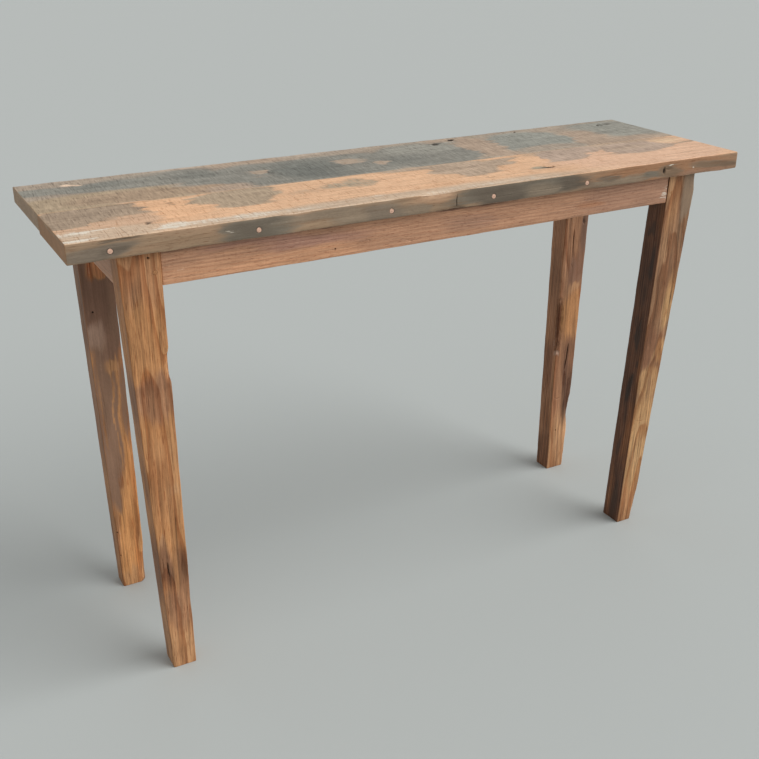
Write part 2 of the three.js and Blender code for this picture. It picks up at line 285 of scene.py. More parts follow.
# %% Saw marks group
BOW_REACH = 7.0  # how far in mm a stroke can bend from straight
saw_group, get, put = new_group(
    "Saw Marks",
    {"Place": (0.0, 0.0, 0.0), "Spacing": 7.0, "Skew": 0.05},
    {"Line": "Float", "Ripple": "Float"},
)
axes = add(saw_group, "SeparateXYZ", {0: get["Place"]}).node.outputs
leaning = calc(saw_group, "MULTIPLY_ADD", axes[1], get["Skew"], axes[0])
bow = noise_value(saw_group, vector_calc(saw_group, "DIVIDE", get["Place"], (150, 90, 90)), 1.0, 1.0)
leaning = calc(saw_group, "MULTIPLY_ADD", bow, BOW_REACH, leaning)
stroke = calc(saw_group, "DIVIDE", leaning, get["Spacing"])
strip = add(saw_group, "CombineXYZ", {0: stroke, 1: calc(saw_group, "DIVIDE", axes[1], 60), 2: 0.0})
ripple = noise_value(saw_group, strip, 1.6, 3.0, 0.7)
saw_group.links.new(ripple, put["Ripple"])
fine_strip = add(saw_group, "CombineXYZ", {0: stroke, 1: calc(saw_group, "DIVIDE", axes[1], 80), 2: 3.0})
line_noise = noise_value(saw_group, fine_strip, 3.4, 2.0, 0.5)
saw_group.links.new(span(saw_group, line_noise, 0.53, 0.74), put["Line"])

print("shared groups:", [g.name for g in bpy.data.node_groups])

# %% [markdown]
# ## Squared timber
#
# Each board, leg and apron starts as a cube stretched to its size. Its arrises are bevelled, because no arris
# on old wood is sharp, and then it is cut into even loops, so there is something to carve. Where a crack or a
# knot hole goes, the cells are split again later. Working in millimetres along the grain (u), across it (v)
# and through it (w) keeps one set of tools good for boards, aprons and legs.

# %% Timber
MM = 0.001
ARRIS = 1.2  # the width in mm of the bevel along every arris


def soften(bm, edges, width):
    """Rounds edges with a bevel of three steps."""
    settings = {"offset_type": "OFFSET", "affect": "EDGES", "segments": 3, "profile": 0.5, "material": -1}
    bmesh.ops.bevel(bm, geom=edges, offset=width, **settings)


def squared_timber(low, high, cuts):
    """A closed block with bevelled arrises, cut into loops along each of its three directions."""
    bm = bmesh.new()
    bmesh.ops.create_cube(bm, size=1.0)
    size = high - low
    bmesh.ops.scale(bm, vec=size, verts=bm.verts)
    bmesh.ops.translate(bm, vec=(low + high) / 2, verts=bm.verts)
    soften(bm, bm.edges[:], ARRIS)
    for axis in range(3):
        runs = [e for e in bm.edges if abs((e.verts[1].co - e.verts[0].co)[axis]) > size[axis] / 2]
        bmesh.ops.subdivide_edges(bm, edges=runs, cuts=cuts[axis], use_grid_fill=True)
    return bm


# A side of a timber is the axis it faces along and which end of that axis it is at.
TOP, NEAR_FRONT, LEFT_END = (2, 0), (1, 1), (0, 0)


def on_side(point, side):
    """The two coordinates of a point that run over a side."""
    return [point[k] for k in range(3) if k != side[0]]


print("arrises are", ARRIS, "mm wide")

# %% [markdown]
# ## Marks in the wood
#
# Cracks, saw cuts, knot holes, nail holes and broken arrises are real shape, so they are carved by moving the
# timber's points inwards. A mark knows its side, its reach and its depth at any point. This is sculpting done
# by rule: it gives the same result each time, and each mark stays one readable line.


# %% Marks
def nearest_on(point, start, end):
    """Distance from a point to the straight line between two others."""
    along = (end - start)
    share = max(0.0, min(1.0, (point - start).dot(along) / along.length_squared))
    return (point - start - along * share).length


# A crack's last amount says how dark it is painted by its depth: partly dirt, partly painted shade in the
# split.
def crack(side, path, width, depth, dirt_and_shade=1.0):
    """A V-shaped split that follows a path and closes towards its two tips."""
    points = [Vector(p) for p in path]
    length = sum((b - a).length for a, b in zip(points, points[1:]))

    def depth_at(a, b):
        here = Vector((a, b))
        away = min(nearest_on(here, p, q) for p, q in zip(points, points[1:]))
        tip = min((here - points[0]).length, (here - points[-1]).length)
        opened = min(1.0, 0.35 + 3 * tip / length)
        return depth * opened * max(0.0, 1 - away / (width * opened))

    low = [min(p[k] for p in points) - width for k in (0, 1)]
    high = [max(p[k] for p in points) + width for k in (0, 1)]
    return SimpleNamespace(side=side, low=low, high=high, depth_at=depth_at, fine=width < 2.5, dirt_and_shade=dirt_and_shade)


def hollow(side, centre, half, depth, turn=0.0, steep=3.0, dirt_and_shade=1.0):
    """An oval pit. A larger steep gives a flatter floor and steeper walls. The last amount sets how dark it is
    painted: dirt and painted shade.
    """
    cosine, sine = math.cos(math.radians(turn)), math.sin(math.radians(turn))

    def depth_at(a, b):
        da, db = a - centre[0], b - centre[1]
        along, across = (da * cosine + db * sine) / half[0], (db * cosine - da * sine) / half[1]
        away = math.hypot(along, across)
        away *= 1 + 0.25 * noise.noise(Vector((a / 6, b / 6, depth)))
        return depth * max(0.0, 1 - away**steep) if away < 1 else 0.0

    reach = max(half)
    low, high = [c - reach for c in centre], [c + reach for c in centre]
    return SimpleNamespace(side=side, low=low, high=high, depth_at=depth_at, fine=reach < 9, dirt_and_shade=dirt_and_shade)


def saw_cut(side, along, start, end, depth):
    """A stray tooth mark of the mill's blade, straight across the grain."""
    lean = (end - start) * 0.04
    return crack(side, [(along, start), (along + lean, end)], 1.3, depth)


def nail_hole(side, along, across, radius=2.0):
    return hollow(side, (along, across), (radius, radius), 2.2, steep=6)


def under_mark(points, mark, low, high, thickness, margin=0.0):
    """The rows of an array of points that lie on a mark's side and within its reach."""
    axis, end = mark.side
    plane = (low, high)[end][axis]
    a, b = [points[:, k] for k in range(3) if k != axis]
    near = np.abs(points[:, axis] - plane) < thickness
    near &= (a > mark.low[0] - margin) & (a < mark.high[0] + margin)
    near &= (b > mark.low[1] - margin) & (b < mark.high[1] + margin)
    return np.nonzero(near)[0]


CELL_MARGIN = 1.0  # how far in mm outside a mark the cells are still split


def carve(bm, low, high, marks):
    """Splits the cells under each mark, twice under a fine one, then pushes its points in."""
    for turn in (0, 1):
        bm.faces.ensure_lookup_table()
        middles = np.array([f.calc_center_median() for f in bm.faces])
        chosen = set()
        for mark in marks:
            if turn == 0 or mark.fine:
                chosen.update(under_mark(middles, mark, low, high, ARRIS, CELL_MARGIN))
        # Edges are taken in order of their number, because a set's own order differs from run to run.
        bm.edges.index_update()
        bm.edges.ensure_lookup_table()
        numbers = sorted({edge.index for i in chosen for edge in bm.faces[i].edges})
        bmesh.ops.subdivide_edges(bm, edges=[bm.edges[k] for k in numbers], cuts=1, use_grid_fill=True)
    bm.verts.ensure_lookup_table()
    points = np.array([v.co for v in bm.verts])
    push = np.zeros_like(points)
    for mark in marks:
        axis, end = mark.side
        for i in under_mark(points, mark, low, high, ARRIS + 0.05):
            depth = mark.depth_at(*on_side(points[i], mark.side))
            if depth > abs(push[i, axis]):
                push[i, axis] = -depth if end else depth
    for vert, shift in zip(bm.verts, push):
        vert.co += Vector(shift)


USUAL_REACH = 4.0  # how far in mm the rounding of an arris spreads over a side
WIDEST_WEAR = 18  # in mm from an arris, further than any spot's reach


def wear_arrises(bm, low, high, spots, usual=0.5):
    """Rounds the four long arrises, and more so at spots.

    A spot is (v end, w end, from, to, amount, reach): which arris, from where to where, and how much."""
    middle = (low + high) / 2
    for vert in bm.verts:
        u, v, w = vert.co
        v_end, w_end = int(v > middle.y), int(w > middle.z)
        away = math.hypot(v - (low, high)[v_end].y, w - (low, high)[w_end].z)
        if away > WIDEST_WEAR:
            continue
        wander = 0.5 + noise.noise(Vector((u / 41, v_end * 7.1, w_end * 3.7)))
        wander += 0.35 * noise.noise(Vector((u / 11, v_end * 7.1, w_end * 3.7)))
        amount, reach = usual * max(0.0, wander), USUAL_REACH
        for spot_v, spot_w, start, end, extra, spot_reach in spots:
            if (spot_v, spot_w) == (v_end, w_end) and start < u < end:
                swell = math.sin(math.pi * (u - start) / (end - start))
                amount, reach = amount + extra * swell * (0.8 + 0.4 * wander), max(reach, spot_reach)
        push = amount * max(0.0, 1 - away / reach) ** 1.5
        vert.co.y += -push if v_end else push
        vert.co.z += -push if w_end else push


def weather(bm, low, high, amount=0.25):
    """Low waves over the four long sides, from shrinkage and hand work. They only ever go inwards."""
    middle = (low + high) / 2
    for vert in bm.verts:
        u, v, w = vert.co
        for axis in (1, 2):
            end = int(vert.co[axis] > middle[axis])
            if abs(vert.co[axis] - (low, high)[end][axis]) < 0.01 + ARRIS:
                place = Vector((u / 70, v / 22, w / 22 + 9 * axis + 5 * end))
                push = amount * (0.5 + 0.5 * noise.noise(place) + 0.25 * noise.noise(place * 3.1))
                vert.co[axis] += -push if end else push


# %% [markdown]
# ## Colour that lies where it lies
#
# A grain pattern can come from noise, but the grey skin that the planer missed, the orange wood it bared and
# the old white paint each have a place. They are painted on the mesh's points as patches, from the bottom
# coat up, and the shader gives the patches their ragged edges. Five attributes carry them: the place in the
# timber, the colour of the bared wood, the colour of the weathered skin, how much of each cover lies here
# (skin, paint, stain), and the form (how dark a mark is painted, for dirt and painted shade in it; distance
# to an arris; whether the side was sawn).

# %% Tones
BARE, SKIN, PAINT, STAIN = range(4)
# A tone's kind, and its colour where the kind has more than one. Paint and stain get theirs in the shader.
TONES = {
    "orange": (BARE, (224, 184, 149)),
    "amber": (BARE, (228, 184, 146)),
    "salmon": (BARE, (221, 184, 156)),
    "cream": (BARE, (204, 181, 157)),
    "tongue": (BARE, (204, 171, 143)),
    "straw": (BARE, (216, 187, 156)),
    "peach": (BARE, (178, 160, 142)),
    "chip": (BARE, (240, 216, 192)),
    "blue": (SKIN, (134, 132, 124)),
    "deep_blue": (SKIN, (117, 118, 112)),
    "night_blue": (SKIN, (104, 106, 101)),
    "pale_blue": (SKIN, (149, 147, 138)),
    "mist": (SKIN, (143, 143, 135)),
    "rear_pink": (SKIN, (161, 147, 132)),
    "rear_light": (SKIN, (174, 158, 143)),
    "umber": (SKIN, (168, 148, 130)),
    "olive": (SKIN, (163, 145, 122)),
    "nut": (SKIN, (163, 140, 118)),
    "grey": (SKIN, (158, 139, 120)),
    "oval": (SKIN, (169, 150, 128)),
    "sage": (SKIN, (162, 152, 132)),
    "fawn": (SKIN, (178, 157, 137)),
    "mauve": (SKIN, (176, 155, 139)),
    "white": (PAINT, None),
    "thin_white": (PAINT, None),
    "soot": (STAIN, None),
}


def smooth_step(value):
    value = np.clip(value, 0.0, 1.0)
    return value * value * (3 - 2 * value)


def coat(tone):
    return np.array(srgb(*TONES[tone][1]))


LEAST_SOFT = 15.0  # about the width in mm over which a patch's edge fades
MOST_SOFT = 0.45  # the most of a small patch's half width that this fade may take
SQUARENESS = 2.8  # 2 makes a patch an ellipse, and a larger value fills its corners
DIRT_AND_SHADE_DEPTH = 9.0  # how far in mm below a side its marks are looked for
# How patch edges wander: the noise's length along and across the grain, and how far it shifts them, in mm.
EDGE_WANDER = ((90, 26, 18, 7), (45, 7, 14, 2.5), (16, 4, 6, 1.6))


def paint(obj, low, high, unbend, sides, grain_place=None, marks=()):
    """Writes a timber's colour attributes. sides gives each side's base tone and its patches.

    A patch is (from, to, from, to, tone, share, softness) over the side's two directions.
    unbend takes a point of the finished mesh back to the straight timber, in millimetres."""
    count = len(obj.data.vertices)
    straight = np.array([unbend(vert.co) for vert in obj.data.vertices])
    grain = straight
    if grain_place:
        grain = np.array([grain_place(vert.co) for vert in obj.data.vertices])
    inward = np.stack([np.abs(straight - np.array(low)), np.abs(straight - np.array(high))], axis=2)
    flat = inward.reshape(count, 6)
    nearest = flat.argmin(axis=1)
    ordered = np.sort(flat, axis=1)
    bare, skin, cover = np.zeros((count, 4)), np.zeros((count, 4)), np.zeros((count, 3))
    for axis in range(3):
        for end in (0, 1):
            chosen = nearest == axis * 2 + end
            side = sides.get((axis, end), sides["other"])
            a, b = [straight[:, k] for k in range(3) if k != axis]
            a, b = a[chosen], b[chosen]
            if not len(a):
                continue
            for long, short, push_a, push_b in EDGE_WANDER:
                drift = [noise.noise_vector(Vector((p / long, q / short, long))) for p, q in zip(a, b)]
                drift = np.array(drift)
                a = a + push_a * drift[:, 0]
                b = b + push_b * drift[:, 1]
            side_bare = np.tile(coat(side["bare"]), (len(a), 1))
            side_skin = np.tile(coat(side["skin"]), (len(a), 1))
            side_cover = np.zeros((len(a), 3))
            side_cover[:, 0] = side.get("skin_share", 0.0)
            for a0, a1, b0, b1, tone, share, soft in side["patches"]:
                far_a = np.abs(a - (a0 + a1) / 2) / ((a1 - a0) / 2)
                far_b = np.abs(b - (b0 + b1) / 2) / ((b1 - b0) / 2)
                far = (far_a**SQUARENESS + far_b**SQUARENESS) ** (1 / SQUARENESS)
                soft = max(soft, min(LEAST_SOFT / min(a1 - a0, b1 - b0), MOST_SOFT))
                mask = (share * smooth_step((1 + soft - far) / (2 * soft)))[:, None]
                kind = TONES[tone][0]
                if kind == BARE:
                    side_bare = side_bare * (1 - mask) + coat(tone) * mask
                    side_cover[:, :1] *= 1 - mask
                elif kind == SKIN:
                    side_skin = side_skin * (1 - mask) + coat(tone) * mask
                    side_cover[:, :1] += mask * (1 - side_cover[:, :1])
                else:
                    layer = 1 if kind == PAINT else 2
                    side_cover[:, layer] = np.maximum(side_cover[:, layer], mask[:, 0])
            bare[chosen], skin[chosen], cover[chosen] = side_bare, side_skin, side_cover
    # Each point in a mark is darkened by the mark's depth: partly dirt, partly painted shade in the recess.
    dirt_and_shade = np.zeros(count)
    for mark in marks:
        for i in under_mark(straight, mark, low, high, DIRT_AND_SHADE_DEPTH):
            dirt_and_shade[i] = max(dirt_and_shade[i], mark.dirt_and_shade * mark.depth_at(*on_side(straight[i], mark.side)))
    sawn = (nearest // 2 == 2).astype(float)
    form = np.stack([dirt_and_shade, ordered[:, 1], sawn], axis=1)
    for name, kind, values in (
        ("place", "FLOAT_VECTOR", grain),
        ("cover", "FLOAT_VECTOR", cover),
        ("form", "FLOAT_VECTOR", form),
        ("bare", "FLOAT_COLOR", bare),
        ("skin", "FLOAT_COLOR", skin),
    ):
        data = obj.data.attributes.new(name, kind, "POINT").data
        data.foreach_set("color" if kind == "FLOAT_COLOR" else "vector", values.astype(np.float32).ravel())


# %% [markdown]
# ## The wood material
#
# One function builds every wood: it reads the painted attributes and adds fibres, rings, pores and saw marks
# from the shared groups. Height goes into one Bump node, in millimetres, so the marks catch the light. The
# Principled shader itself stays in each material, and its constant values are set on its own sockets.


# %% Wood material
SEED_STEP = Vector((371.0, 53.0, 17.0))  # how far apart in mm two timbers lie in the shared noises
RING_TINT = (0.62, 0.45, 0.34, 1)
PORE_TINT = (0.55, 0.34, 0.24, 1)
SAW_TINT_ON_BARE = (0.72, 0.61, 0.53, 1)
SAW_TINT_ON_SKIN = (0.62, 0.61, 0.60, 1)
WORN_TINT = (1.22, 1.10, 0.98, 1)
WORN_SHARE = 0.5
OLD_PAINT = (0.73, 0.66, 0.56, 1)
IRON_STAIN = (0.040, 0.030, 0.024, 1)
# The colour of deep marks: dirt, and painted shade inside the crack or pit.
DIRT_AND_SHADE = (0.026, 0.017, 0.012, 1)


def wood(name, seed, streak=0.5, rings=0.3, saw=0.0, saw_on_bare=0.3, flecks=0.2, length=60.0, width=1.6,
         pith=(0.0, 40.0, 90.0), ring_width=5.0, roughness=0.66, sheen=0.3):
    """A wood material. Each amount says how strongly one effect shows, and 0 leaves the effect out."""
    material = bpy.data.materials.new(name)
    material.use_nodes = True
    tree = material.node_tree
    shader = tree.nodes["Principled BSDF"]

    def attribute(label, out):
        return add(tree, "Attribute", out=out, attribute_name=label, attribute_type="GEOMETRY")

    shift = SEED_STEP * seed
    place = add(tree, "Mapping", {"Vector": attribute("place", "Vector"), "Location": shift})
    cover = add(tree, "SeparateXYZ", {0: attribute("cover", "Vector")}).node.outputs
    dirt_and_shade, arris, sawn = add(tree, "SeparateXYZ", {0: attribute("form", "Vector")}).node.outputs
    fibres = use(tree, fibre_group, Place=place, Length=length, Width=width)
    fine, broad, pore = fibres["Streak"], fibres["Broad"], fibres["Pore"]
    ring = use(tree, ring_group, Place=place, Pith=shift + Vector(pith), Ring_Width=ring_width)["Band"]
    marks = use(tree, saw_group, Place=place)
    line = calc(tree, "MULTIPLY", marks["Line"], sawn)
    ripple = calc(tree, "MULTIPLY", calc(tree, "SUBTRACT", marks["Ripple"], 0.5), sawn)
    speckle = noise_value(tree, vector_calc(tree, "DIVIDE", place, (4.5, 1.5, 1.5)), 1.0, 3.0, 0.7)
    blotch = noise_value(tree, vector_calc(tree, "DIVIDE", place, (95, 22, 22)), 1.0, 4.0, 0.6)

    # Bared wood: its painted colour with a brightness around 1.0, then rings, pores and faint saw lines.
    shade = swayed_by(
        tree, 1.0, (fine, streak * 1.7), (broad, streak * 2.0), (blotch, streak * 1.1), (speckle, 0.34)
    )
    bare = scaled(tree, attribute("bare", "Color"), shade)
    bare = darkened(tree, bare, ring, rings, RING_TINT)
    bare = darkened(tree, bare, pore, flecks, PORE_TINT)
    bare = darkened(tree, bare, line, saw_on_bare, SAW_TINT_ON_BARE)

    # Weathered skin: the same noises, with the saw's ripple and lines much stronger.
    strokes = calc(tree, "MULTIPLY_ADD", ripple, saw * 1.3, 1.05)
    strokes = swayed_by(tree, strokes, (speckle, 0.5), (blotch, 0.75), (fine, 0.5), (broad, 0.6))
    skin = scaled(tree, attribute("skin", "Color"), strokes)
    skin = darkened(tree, skin, line, saw, SAW_TINT_ON_SKIN)

    # The covers' ragged edges follow the fibres, and on sawn boards the saw's ripple too.
    rag = calc(tree, "MULTIPLY", ripple, min(1.0, 1.4 * saw))
    rag = swayed_by(tree, rag, (fine, 0.9), (broad, 0.8), (speckle, 0.6))
    skin_mask = span(tree, calc(tree, "ADD", cover[0], rag), 0.12, 0.88)
    paint_mask = span(tree, calc(tree, "MULTIPLY_ADD", rag, 1.3, cover[1]), 0.30, 0.85)
    stain_mask = span(tree, calc(tree, "MULTIPLY_ADD", rag, 0.7, cover[2]), 0.12, 1.0, to_high=0.90)

    # From the bottom up: bared wood, skin, the worn arrises, paint, stain, and dirt and painted shade in the
    # marks.
    colour = mix(tree, skin_mask, bare, skin)
    worn = span(tree, calc(tree, "MULTIPLY_ADD", rag, 3.0, arris), 2.6, 0.4)
    warm = mix(tree, 1.0, colour, WORN_TINT, "MULTIPLY")
    colour = mix(tree, calc(tree, "MULTIPLY", worn, WORN_SHARE), colour, warm)
    colour = mix(tree, paint_mask, colour, OLD_PAINT)
    colour = mix(tree, stain_mask, colour, IRON_STAIN)
    # Dirt and painted shade in the marks, darker the deeper they are cut.
    colour = mix(tree, span(tree, dirt_and_shade, 0.5, 2.4), colour, DIRT_AND_SHADE)
    tree.links.new(colour, shader.inputs["Base Color"])

    gloss = calc(tree, "MULTIPLY_ADD", skin_mask, 0.12, roughness)
    gloss = swayed_by(tree, gloss, (fine, 0.25))
    gloss = calc(tree, "MULTIPLY_ADD", paint_mask, 0.08, gloss, clamp=True)
    tree.links.new(gloss, shader.inputs["Roughness"])
    shader.inputs["Specular IOR Level"].default_value = sheen

    height = calc(tree, "MULTIPLY", fine, 0.22)
    height = calc(tree, "MULTIPLY_ADD", pore, -0.14, height)
    height = calc(tree, "MULTIPLY_ADD", ripple, 0.45 * (saw + 0.25 * saw_on_bare), height)
    height = calc(tree, "MULTIPLY_ADD", line, -0.25 * (saw + 0.5 * saw_on_bare), height)
    height = calc(tree, "MULTIPLY_ADD", paint_mask, 0.10, height)
    bump = add(tree, "Bump", {"Height": height, "Distance": MM, "Strength": 1.0})
    tree.links.new(bump, shader.inputs["Normal"])
    return material


print("wood shader ready")

# %% [markdown]
# ## Holes that other pieces go into
#
# The boards, legs and long aprons have bores for dowels, plugs and pegs, and the legs have mortises for the
# tenons. A Boolean modifier cuts them with plain cutters and is applied at once. Then the cutters are thrown
# away.


# %% Holes
FIT = 0.3 * MM  # the gap that the frame keeps round its glued pieces


def cut_holes(obj, cutters):
    """Cuts bmeshes that don't touch each other out of a finished object, all in one go."""
    joined = bmesh.new()
    for cutter in cutters:
        shape = bpy.data.meshes.new("cutter")
        cutter.to_mesh(shape)
        cutter.free()
        joined.from_mesh(shape)
    tool = finished(joined, "cutter")
    modifier = obj.modifiers.new("holes", "BOOLEAN")
    modifier.operation = "DIFFERENCE"
    modifier.solver = "EXACT"
    modifier.object = tool
    cut = bpy.data.meshes.new_from_object(obj.evaluated_get(bpy.context.evaluated_depsgraph_get()))
    obj.modifiers.clear()
    obj.data = cut
    bpy.data.objects.remove(tool)


def rod_along(node, grow, deeper=0.0):
    """A round cutter or rod that fills a CAD node's box, with its length from front to back."""
    low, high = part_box(node)
    radius = (high - low).z / 2 + grow
    depth = (high - low).y + 2 * deeper
    bm = bmesh.new()
    bmesh.ops.create_cone(bm, cap_ends=True, segments=32, radius1=radius, radius2=radius, depth=depth)
    bmesh.ops.rotate(bm, cent=(0, 0, 0), matrix=Matrix.Rotation(math.pi / 2, 3, "X"), verts=bm.verts)
    bmesh.ops.translate(bm, vec=(low + high) / 2, verts=bm.verts)
    return bm


def block_between(low, high):
    bm = bmesh.new()
    bmesh.ops.create_cube(bm, size=1.0)
    bmesh.ops.scale(bm, vec=Vector(high) - Vector(low), verts=bm.verts)
    bmesh.ops.translate(bm, vec=(Vector(high) + Vector(low)) / 2, verts=bm.verts)
    return bm


def placed(bm, bend, name, material):
    """Bends a timber from its straight millimetres to its place on the table, and makes it an object."""
    for vert in bm.verts:
        vert.co = bend(vert.co)
    bmesh.ops.dissolve_degenerate(bm, dist=0.001 * MM, edges=bm.edges)
    bmesh.ops.recalc_face_normals(bm, faces=bm.faces)
    if bm.calc_volume(signed=True) < 0:
        bmesh.ops.reverse_faces(bm, faces=bm.faces)
    return finished(bm, name, material)


def hand_over(piece, slot, *nodes):
    """Hangs a finished piece on the table's root, so that it moves with the table, and hides the frame's nodes
    that it stands for.
    """
    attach(piece, "root")
    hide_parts(*nodes)


print("pieces keep a gap of", round(FIT / MM, 2), "mm")


# %% [markdown]
# ## The rear board of the top
#
# Most of this board still has its blue-grey skin, with the mill's saw marks square across it. The planer took
# the skin off along the rear edge and at a few high spots. Distances run from the left end and from the rear
# edge, in millimetres.

# %% Rear board
top_low, top_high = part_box("top_rear_board")
front_low, front_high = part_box("top_front_board")
LENGTH = (top_high.x - top_low.x) / MM
REAR_WIDTH = (top_high.y - top_low.y) / MM
DEPTH = (top_high.y - front_low.y) / MM


def bend_top(point):
    u, v, w = point
    return Vector((top_low.x + u * MM, top_high.y - v * MM, top_high.z - w * MM))


def unbend_top(point):
    return ((point.x - top_low.x) / MM, (top_high.y - point.y) / MM, (top_high.z - point.z) / MM)


REAR_MARKS = [
    hollow(TOP, (801, 19), (13, 10), 2.6, steep=2.2, dirt_and_shade=0.45),
    hollow(TOP, (807, 18), (7, 7), 4.5, steep=2.4),
    hollow(TOP, (757, 40), (12, 5), 1.6, turn=70),
    hollow(TOP, (853, 18), (5, 3), 0.7),
    hollow(TOP, (955, 16), (7, 2.4), 2.5, turn=-60),
    hollow(TOP, (1144, 38), (8, 4), 2.2, turn=-65),
    hollow(TOP, (1165, 33), (9, 5), 1.3, turn=60),
    hollow(TOP, (77, 35), (9, 6), 0.35, steep=8),
    hollow(TOP, (87, 24), (4, 3), 0.8),
    hollow(TOP, (402, 107), (8, 3.5), 1.0, turn=75),
    crack(TOP, [(560, 120), (564, 150)], 1.5, 0.8),
    crack(TOP, [(0, 168), (60, 172), (120, 167)], 1.0, 0.5),
    crack(TOP, [(1210, 120), (1150, 124), (1105, 121)], 1.0, 0.6),
]
REAR_CUTS = ((52, 45, 80), (105, 60, 95), (200, 95, 170), (222, 15, 100), (247, 95, 120), (340, 120, 170))
for along, start, end in REAR_CUTS:
    REAR_MARKS.append(saw_cut(TOP, along, start, end, 0.35))

REAR_TOP = {
    "bare": "peach",
    "skin": "rear_pink",
    "skin_share": 1.0,
    "patches": [
        (-20, 60, 36, 84, "blue", 1.0, 0.10),
        (45, 200, 36, 98, "blue", 1.0, 0.08),
        (120, 330, 22, 104, "blue", 1.0, 0.10),
        (185, 330, 10, 104, "blue", 1.0, 0.08),
        (245, 345, 60, 132, "blue", 1.0, 0.10),
        (285, 350, 60, 152, "blue", 1.0, 0.10),
        (320, 440, 34, 182, "blue", 1.0, 0.10),
        (350, 640, 34, 196, "blue", 1.0, 0.06),
        (-20, 640, -12, 14, "rear_light", 0.9, 0.30),
        (400, 540, 50, 178, "deep_blue", 1.0, 0.35),
        (430, 500, 90, 165, "night_blue", 0.7, 0.45),
        (255, 330, 40, 90, "deep_blue", 0.6, 0.45),
        (80, 180, 44, 70, "deep_blue", 0.5, 0.45),
        (640, 720, 110, 140, "deep_blue", 0.6, 0.45),
        (880, 960, 60, 110, "deep_blue", 0.55, 0.45),
        (1130, 1190, 60, 100, "deep_blue", 0.4, 0.45),
        (600, 797, 24, 200, "blue", 1.0, 0.05),
        (650, 790, 18, 95, "pale_blue", 0.9, 0.30),
        (600, 700, 95, 150, "deep_blue", 0.5, 0.40),
        (130, 240, 10, 34, "rear_pink", 0.5, 0.30),
        (858, 1010, 17, 200, "mist", 1.0, 0.07),
        (865, 1000, 145, 200, "umber", 0.65, 0.30),
        (1010, 1090, 60, 200, "umber", 0.9, 0.20),
        (1062, 1200, 14, 60, "mist", 0.9, 0.25),
        (1095, 1225, 20, 150, "mist", 0.9, 0.22),
        (1160, 1225, -10, 170, "pale_blue", 0.7, 0.25),
        (1010, 1200, 150, 200, "umber", 0.9, 0.20),
        (-20, 245, 100, 200, "olive", 1.0, 0.05),
        (60, 240, 118, 184, "nut", 0.8, 0.30),
        (235, 300, 134, 200, "nut", 1.0, 0.12),
        (262, 342, 152, 200, "umber", 1.0, 0.14),
        (310, 460, 0, 30, "umber", 0.9, 0.30),
        (795, 857, 4, 200, "umber", 1.0, 0.06),
        (740, 800, 0, 30, "umber", 0.8, 0.30),
        (365, 401, 83, 110, "peach", 0.9, 0.22),
        (530, 570, 70, 112, "peach", 0.75, 0.25),
        (555, 590, 68, 100, "peach", 0.55, 0.40),
        (588, 612, 114, 140, "peach", 0.9, 0.25),
        (350, 400, 118, 130, "peach", 0.4, 0.40),
        (70, 87, 28, 43, "chip", 1.0, 0.12),
        (120, 175, 180, 192, "tongue", 0.9, 0.40),
        (150, 204, 183, 192, "amber", 1.0, 0.30),
        (398, 407, 96, 118, "soot", 0.6, 0.40),
        (748, 766, 30, 52, "soot", 0.75, 0.40),
        (1155, 1175, 24, 46, "soot", 0.55, 0.45),
        (1136, 1152, 28, 48, "soot", 0.6, 0.45),
        (84, 90, 20, 28, "soot", 0.6, 0.4),
        (846, 860, 13, 24, "sage", 0.9, 0.4),
        (553, 568, 122, 154, "soot", 0.3, 0.5),
    ],
}
BOARD_END = {"bare": "nut", "skin": "nut", "skin_share": 0.5, "patches": [(0, 400, 0, 4, "olive", 0.6, 0.4)]}
BOARD_HIDDEN = {
    "bare": "nut",
    "skin": "grey",
    "skin_share": 0.55,
    "patches": [(150, 420, 0, 400, "olive", 0.8, 0.3), (700, 880, 0, 400, "mauve", 0.8, 0.3)],
}

top_wood = wood(
    "top_wood", 1.0, streak=0.4, rings=0.25, saw=0.95, saw_on_bare=0.75, flecks=0.55, width=1.8, sheen=0.22
)


BOARD_WEAR = 0.9  # about how many mm a board's arrises have lost
SHARP = math.radians(50)  # edges steeper than this keep a crease


def make_board(name, low, high, cuts, marks, worn, sides, holes):
    """Shapes, cuts, paints and hands over one board, whose arrises are worn more at the given spots."""
    low, high = Vector(low), Vector(high)
    bm = squared_timber(low, high, cuts)
    weather(bm, low, high)
    wear_arrises(bm, low, high, worn, BOARD_WEAR)
    carve(bm, low, high, marks)
    board = placed(bm, bend_top, name.replace("board", "plank"), top_wood)
    cut_holes(board, holes)
    paint(board, low, high, unbend_top, sides, marks=marks)
    board.data.set_sharp_from_angle(angle=SHARP)
    hand_over(board, "top_wood", name)
    print(name, len(board.data.polygons), "faces")


dowel_nodes = sorted(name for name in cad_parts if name.startswith("seam_dowel"))
plug_nodes = sorted(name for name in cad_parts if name.startswith("edge_plug"))
rear_under = (top_high.z - top_low.z) / MM
make_board(
    "top_rear_board",
    (0, 0, 0),
    (LENGTH, REAR_WIDTH, rear_under),
    (420, 62, 7),
    REAR_MARKS,
    [(0, 0, 700, 900, 0.8, 5.0)],
    {TOP: REAR_TOP, LEFT_END: BOARD_END, "other": BOARD_HIDDEN},
    [rod_along(node, FIT, FIT) for node in dowel_nodes],
)
